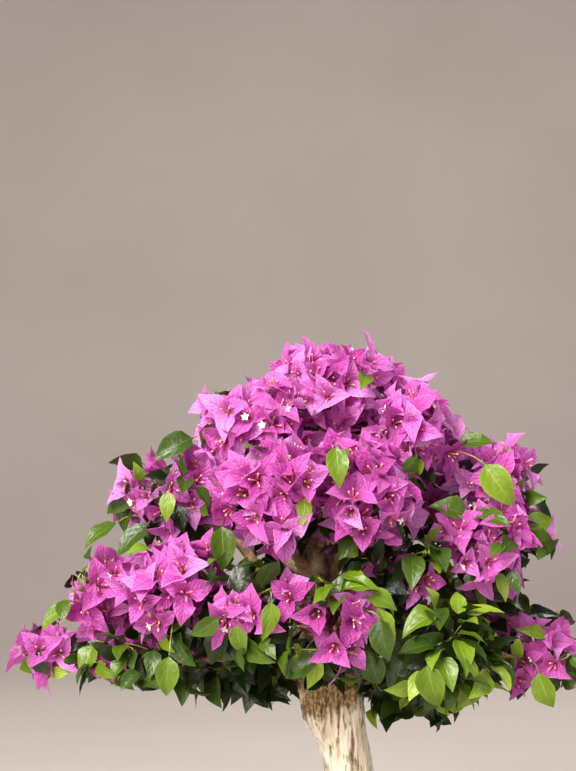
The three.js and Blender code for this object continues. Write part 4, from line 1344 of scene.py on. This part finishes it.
LEAF_ACROSS = 4
LEAF_ALONG = 8
leaf_spots, leaf_faces, leaf_chart = blade_pattern(LEAF_ACROSS, LEAF_ALONG, leaf_width, crowd=0)
draws = seeded(LEAF_SEED)
leaves, leaf_middles = [], []
for foot, tip in zip(feet, tips):
    ahead = unit(tip - foot)
    above = np.array([within(CLEAR_TILT, next(draws)), -0.8, 0.55])
    above = unit(above - ahead * above.dot(ahead))
    leaf_middles.append((foot + tip) / 2)
    length = CLEAR_LENGTH * np.linalg.norm(tip - foot)
    leaves.append((foot, ahead, above, length, 0, next(draws), next(draws), next(draws)))
DOWN = np.array([0, 0, -1.0])
for number, (index, shoot, way, in_bloom) in enumerate(shoots):
    for order, step in enumerate(BLOOM_STEPS if in_bloom else LEAF_STEPS):
        turn = order * LEAF_TURN + FULL_TURN * next(draws)
        along = unit(shoot[min(step + 1, SHOOT_POINTS - 1)] - shoot[step - 1])
        side = unit(np.cross(along, DOWN) + 1e-6)
        lift = np.cross(side, along)
        around = math.cos(turn) * side + math.sin(turn) * lift
        droop = within(LEAF_DROOP, next(draws)) * DOWN
        ahead = unit(LEAF_WAYS[0] * along + LEAF_WAYS[1] * around + LEAF_WAYS[2] * way + droop)
        length = within(LEAF_LENGTH, next(draws) ** 1.3)
        length *= LEAF_IN_BLOOM if in_bloom else 1
        stray = np.array([next(draws), next(draws), next(draws)]) - 0.5
        face = unit(LEAF_FACES[0] * way - LEAF_FACES[1] * DOWN + LEAF_FACES[2] * stray)
        above = unit(face - ahead * face.dot(ahead))
        middle = shoot[step] + ahead * length * LEAF_MIDDLE
        point = shoot[step] + ahead * length * LEAF_POINT[0] - above * length * LEAF_POINT[1]
        if not in_space(index, middle, LEAF_PAST[0]) or not in_space(index, point, LEAF_PAST[1]):
            continue
        if not clear_of_limbs([middle, point], LIMB_CLEAR) or shows_sky([shoot[step], middle, point]):
            continue
        if np.linalg.norm(np.array(leaf_middles) - middle, axis=1).min() < LEAF_APART:
            continue
        if np.linalg.norm(bloom_spots - middle, axis=1).min() < BLOOM_CLEAR:
            continue
        if np.linalg.norm(bloom_spots[: len(CLEAR_BLOOMS)] - middle, axis=1).min() < CLEAR_BLOOM_ROOM:
            continue
        end = shoot[step] + ahead * length
        if end[2] > LEAF_CEILING or not in_box(np.array([point, end]), EDGE_ROOM):
            continue
        leaf_middles.append(middle)
        last_used[number] = max(last_used[number], step)
        leaves.append((shoot[step], ahead, above, length, index, next(draws), next(draws), next(draws)))

# Only now is it known where each shoot ends: at its last leaf or bloom.
for last, (_, shoot, _, _) in zip(last_used, shoots):
    if last > 0:
        kept_part = evenly(shoot[: last + 1], SHORT_POINTS)
        shoot_lines.append((kept_part, np.linspace(*SHOOT_RADII, SHORT_POINTS)))
tubes("shoots", shoot_lines, SHOOT_SIDES, green_bark, "bark")

LEAF_BEND = (0.25, 1.05)
LEAF_CURL = (0.05, 0.19)
LEAF_FOLD = (0.24, 0.64)
LEAF_CUP = (-0.1, -0.22)
LEAF_WAVE = (0.1, 0.24)
SHADED_AT = 0.4  # the place along a leaf where its shade is judged
DEEP = (0.06, 0.16)  # leaves further inside the crown than this get dark tints as painted shade
YOUNG_DEEP = 0.14  # young leaves get the painted shade only past this depth
SHELTER = (-0.04, 0.16)  # leaves with more of the crown than this between them and the light are dark
LAMPWARD = np.array([-0.018, -0.03, 0.042])
LIME_FROM = (0.0, 0.12)  # across the crown, where leaves start to be young, and where most are
LIME_SHARE = (0.06, 0.74)
LIME_BELOW = 0.42
LIME_BEFORE = 0.02
# the share of leaves on the crown's undersides that get dark tints as painted shade
SHADE_UNDER = 0.85
SHADE_MOST = 0.7  # of the leaves given painted shade, those with a lower draw get the darkest tint
LIME_MOST = 0.3  # of the young leaves, those with a lower draw are lime green
SHADE_DEALT = (0.3, 0.7, 0.92)  # old, full, bright and new, by chance
leaf_base = np.array([leaf[0] for leaf in leaves])
leaf_ahead = np.array([leaf[1] for leaf in leaves])
leaf_above = np.array([leaf[2] for leaf in leaves])
leaf_length = np.array([leaf[3] for leaf in leaves])
leaf_chance = np.array([leaf[5:] for leaf in leaves])
leaf_size = np.column_stack([leaf_length, leaf_length * within(LEAF_WIDTH, leaf_chance[:, 0])])
leaf_places = blades(
    leaf_spots, leaf_base, leaf_ahead, leaf_above, leaf_size,
    bend=within(LEAF_BEND, leaf_chance[:, 1]), tip=within(LEAF_CURL, leaf_chance[:, 2]),
    fold=within(LEAF_FOLD, leaf_chance[:, 0]), cup=within(LEAF_CUP, leaf_chance[:, 2]),
    wave=within(LEAF_WAVE, leaf_chance[:, 1]), phase=FULL_TURN * leaf_chance[:, 2],
)
leaf_middle = leaf_base + SHADED_AT * leaf_length[:, None] * leaf_ahead
leaf_deep = fill(leaf_middle)
leaf_lamp_shadow = fill(leaf_middle + LAMPWARD)
leaf_shades = 1 + np.searchsorted(SHADE_DEALT, leaf_chance[:, 2])
low_front = (leaf_base[:, 2] < LIME_BELOW) & (leaf_base[:, 1] < LIME_BEFORE)
young = np.interp(leaf_base[:, 0], LIME_FROM, LIME_SHARE) * low_front
is_young = leaf_chance[:, 0] < np.maximum(young, LIME_SHARE[0])
leaf_shades = np.where(is_young, 4 + (leaf_chance[:, 1] < LIME_MOST), leaf_shades)
leaf_mass = np.array([leaf[4] for leaf in leaves])
UNDERSIDES = ("left_underside", "right_underside", "back_low")
under = np.isin(leaf_mass, [NAMES.index(name) for name in UNDERSIDES])
# Painted shade: leaves deep in the crown, with crown between them and the lamp, or on its undersides take
# the shade and old tints.
dark = leaf_deep > within(DEEP, leaf_chance[:, 1])
dark |= leaf_lamp_shadow > within(SHELTER, leaf_chance[:, 2])
dark |= under & (leaf_chance[:, 1] < SHADE_UNDER)
dark &= ~(is_young & (leaf_deep < YOUNG_DEEP) & ~under)
leaf_shades = np.where(dark, leaf_chance[:, 0] > SHADE_MOST, leaf_shades)
LEAF_TINTS = [  # name, body, vein, edge, in the order of the shades' numbers
    # The first two tints, the darkest, are also the painted shade of leaves inside and under the crown.
    ("shade_leaf", "#141f08", "#28370f", "#1b290a"),
    ("old_and_shaded_leaf", "#2b3f0d", "#4b6223", "#374e12"),
    ("full_leaf", "#395009", "#5c7426", "#465f0c"),
    ("bright_leaf", "#50690d", "#758c31", "#607913"),
    ("new_leaf", "#627c16", "#8aa140", "#738e20"),
    ("lime_leaf", "#789020", "#a2b650", "#889f2c"),
]
leaf_finishes = [
    veined(name, body, vein, edge, 0.14, 4.5, 0.8, 0.26, 0.0003, roughness=0.34, Specular_IOR_Level=0.42)
    for name, body, vein, edge in LEAF_TINTS
]
leaf_nodes = [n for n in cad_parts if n.startswith("leaves_")]
LEAF_PIECES = 2
for part in range(LEAF_PIECES):
    chosen = np.arange(len(leaves)) % LEAF_PIECES == part
    copies(
        f"leaves_{part + 1}", leaf_places[chosen], leaf_faces, leaf_shades[chosen], *leaf_finishes,
        slot="leaves", replaced=leaf_nodes if part == 0 else (), across=leaf_chart,
    )
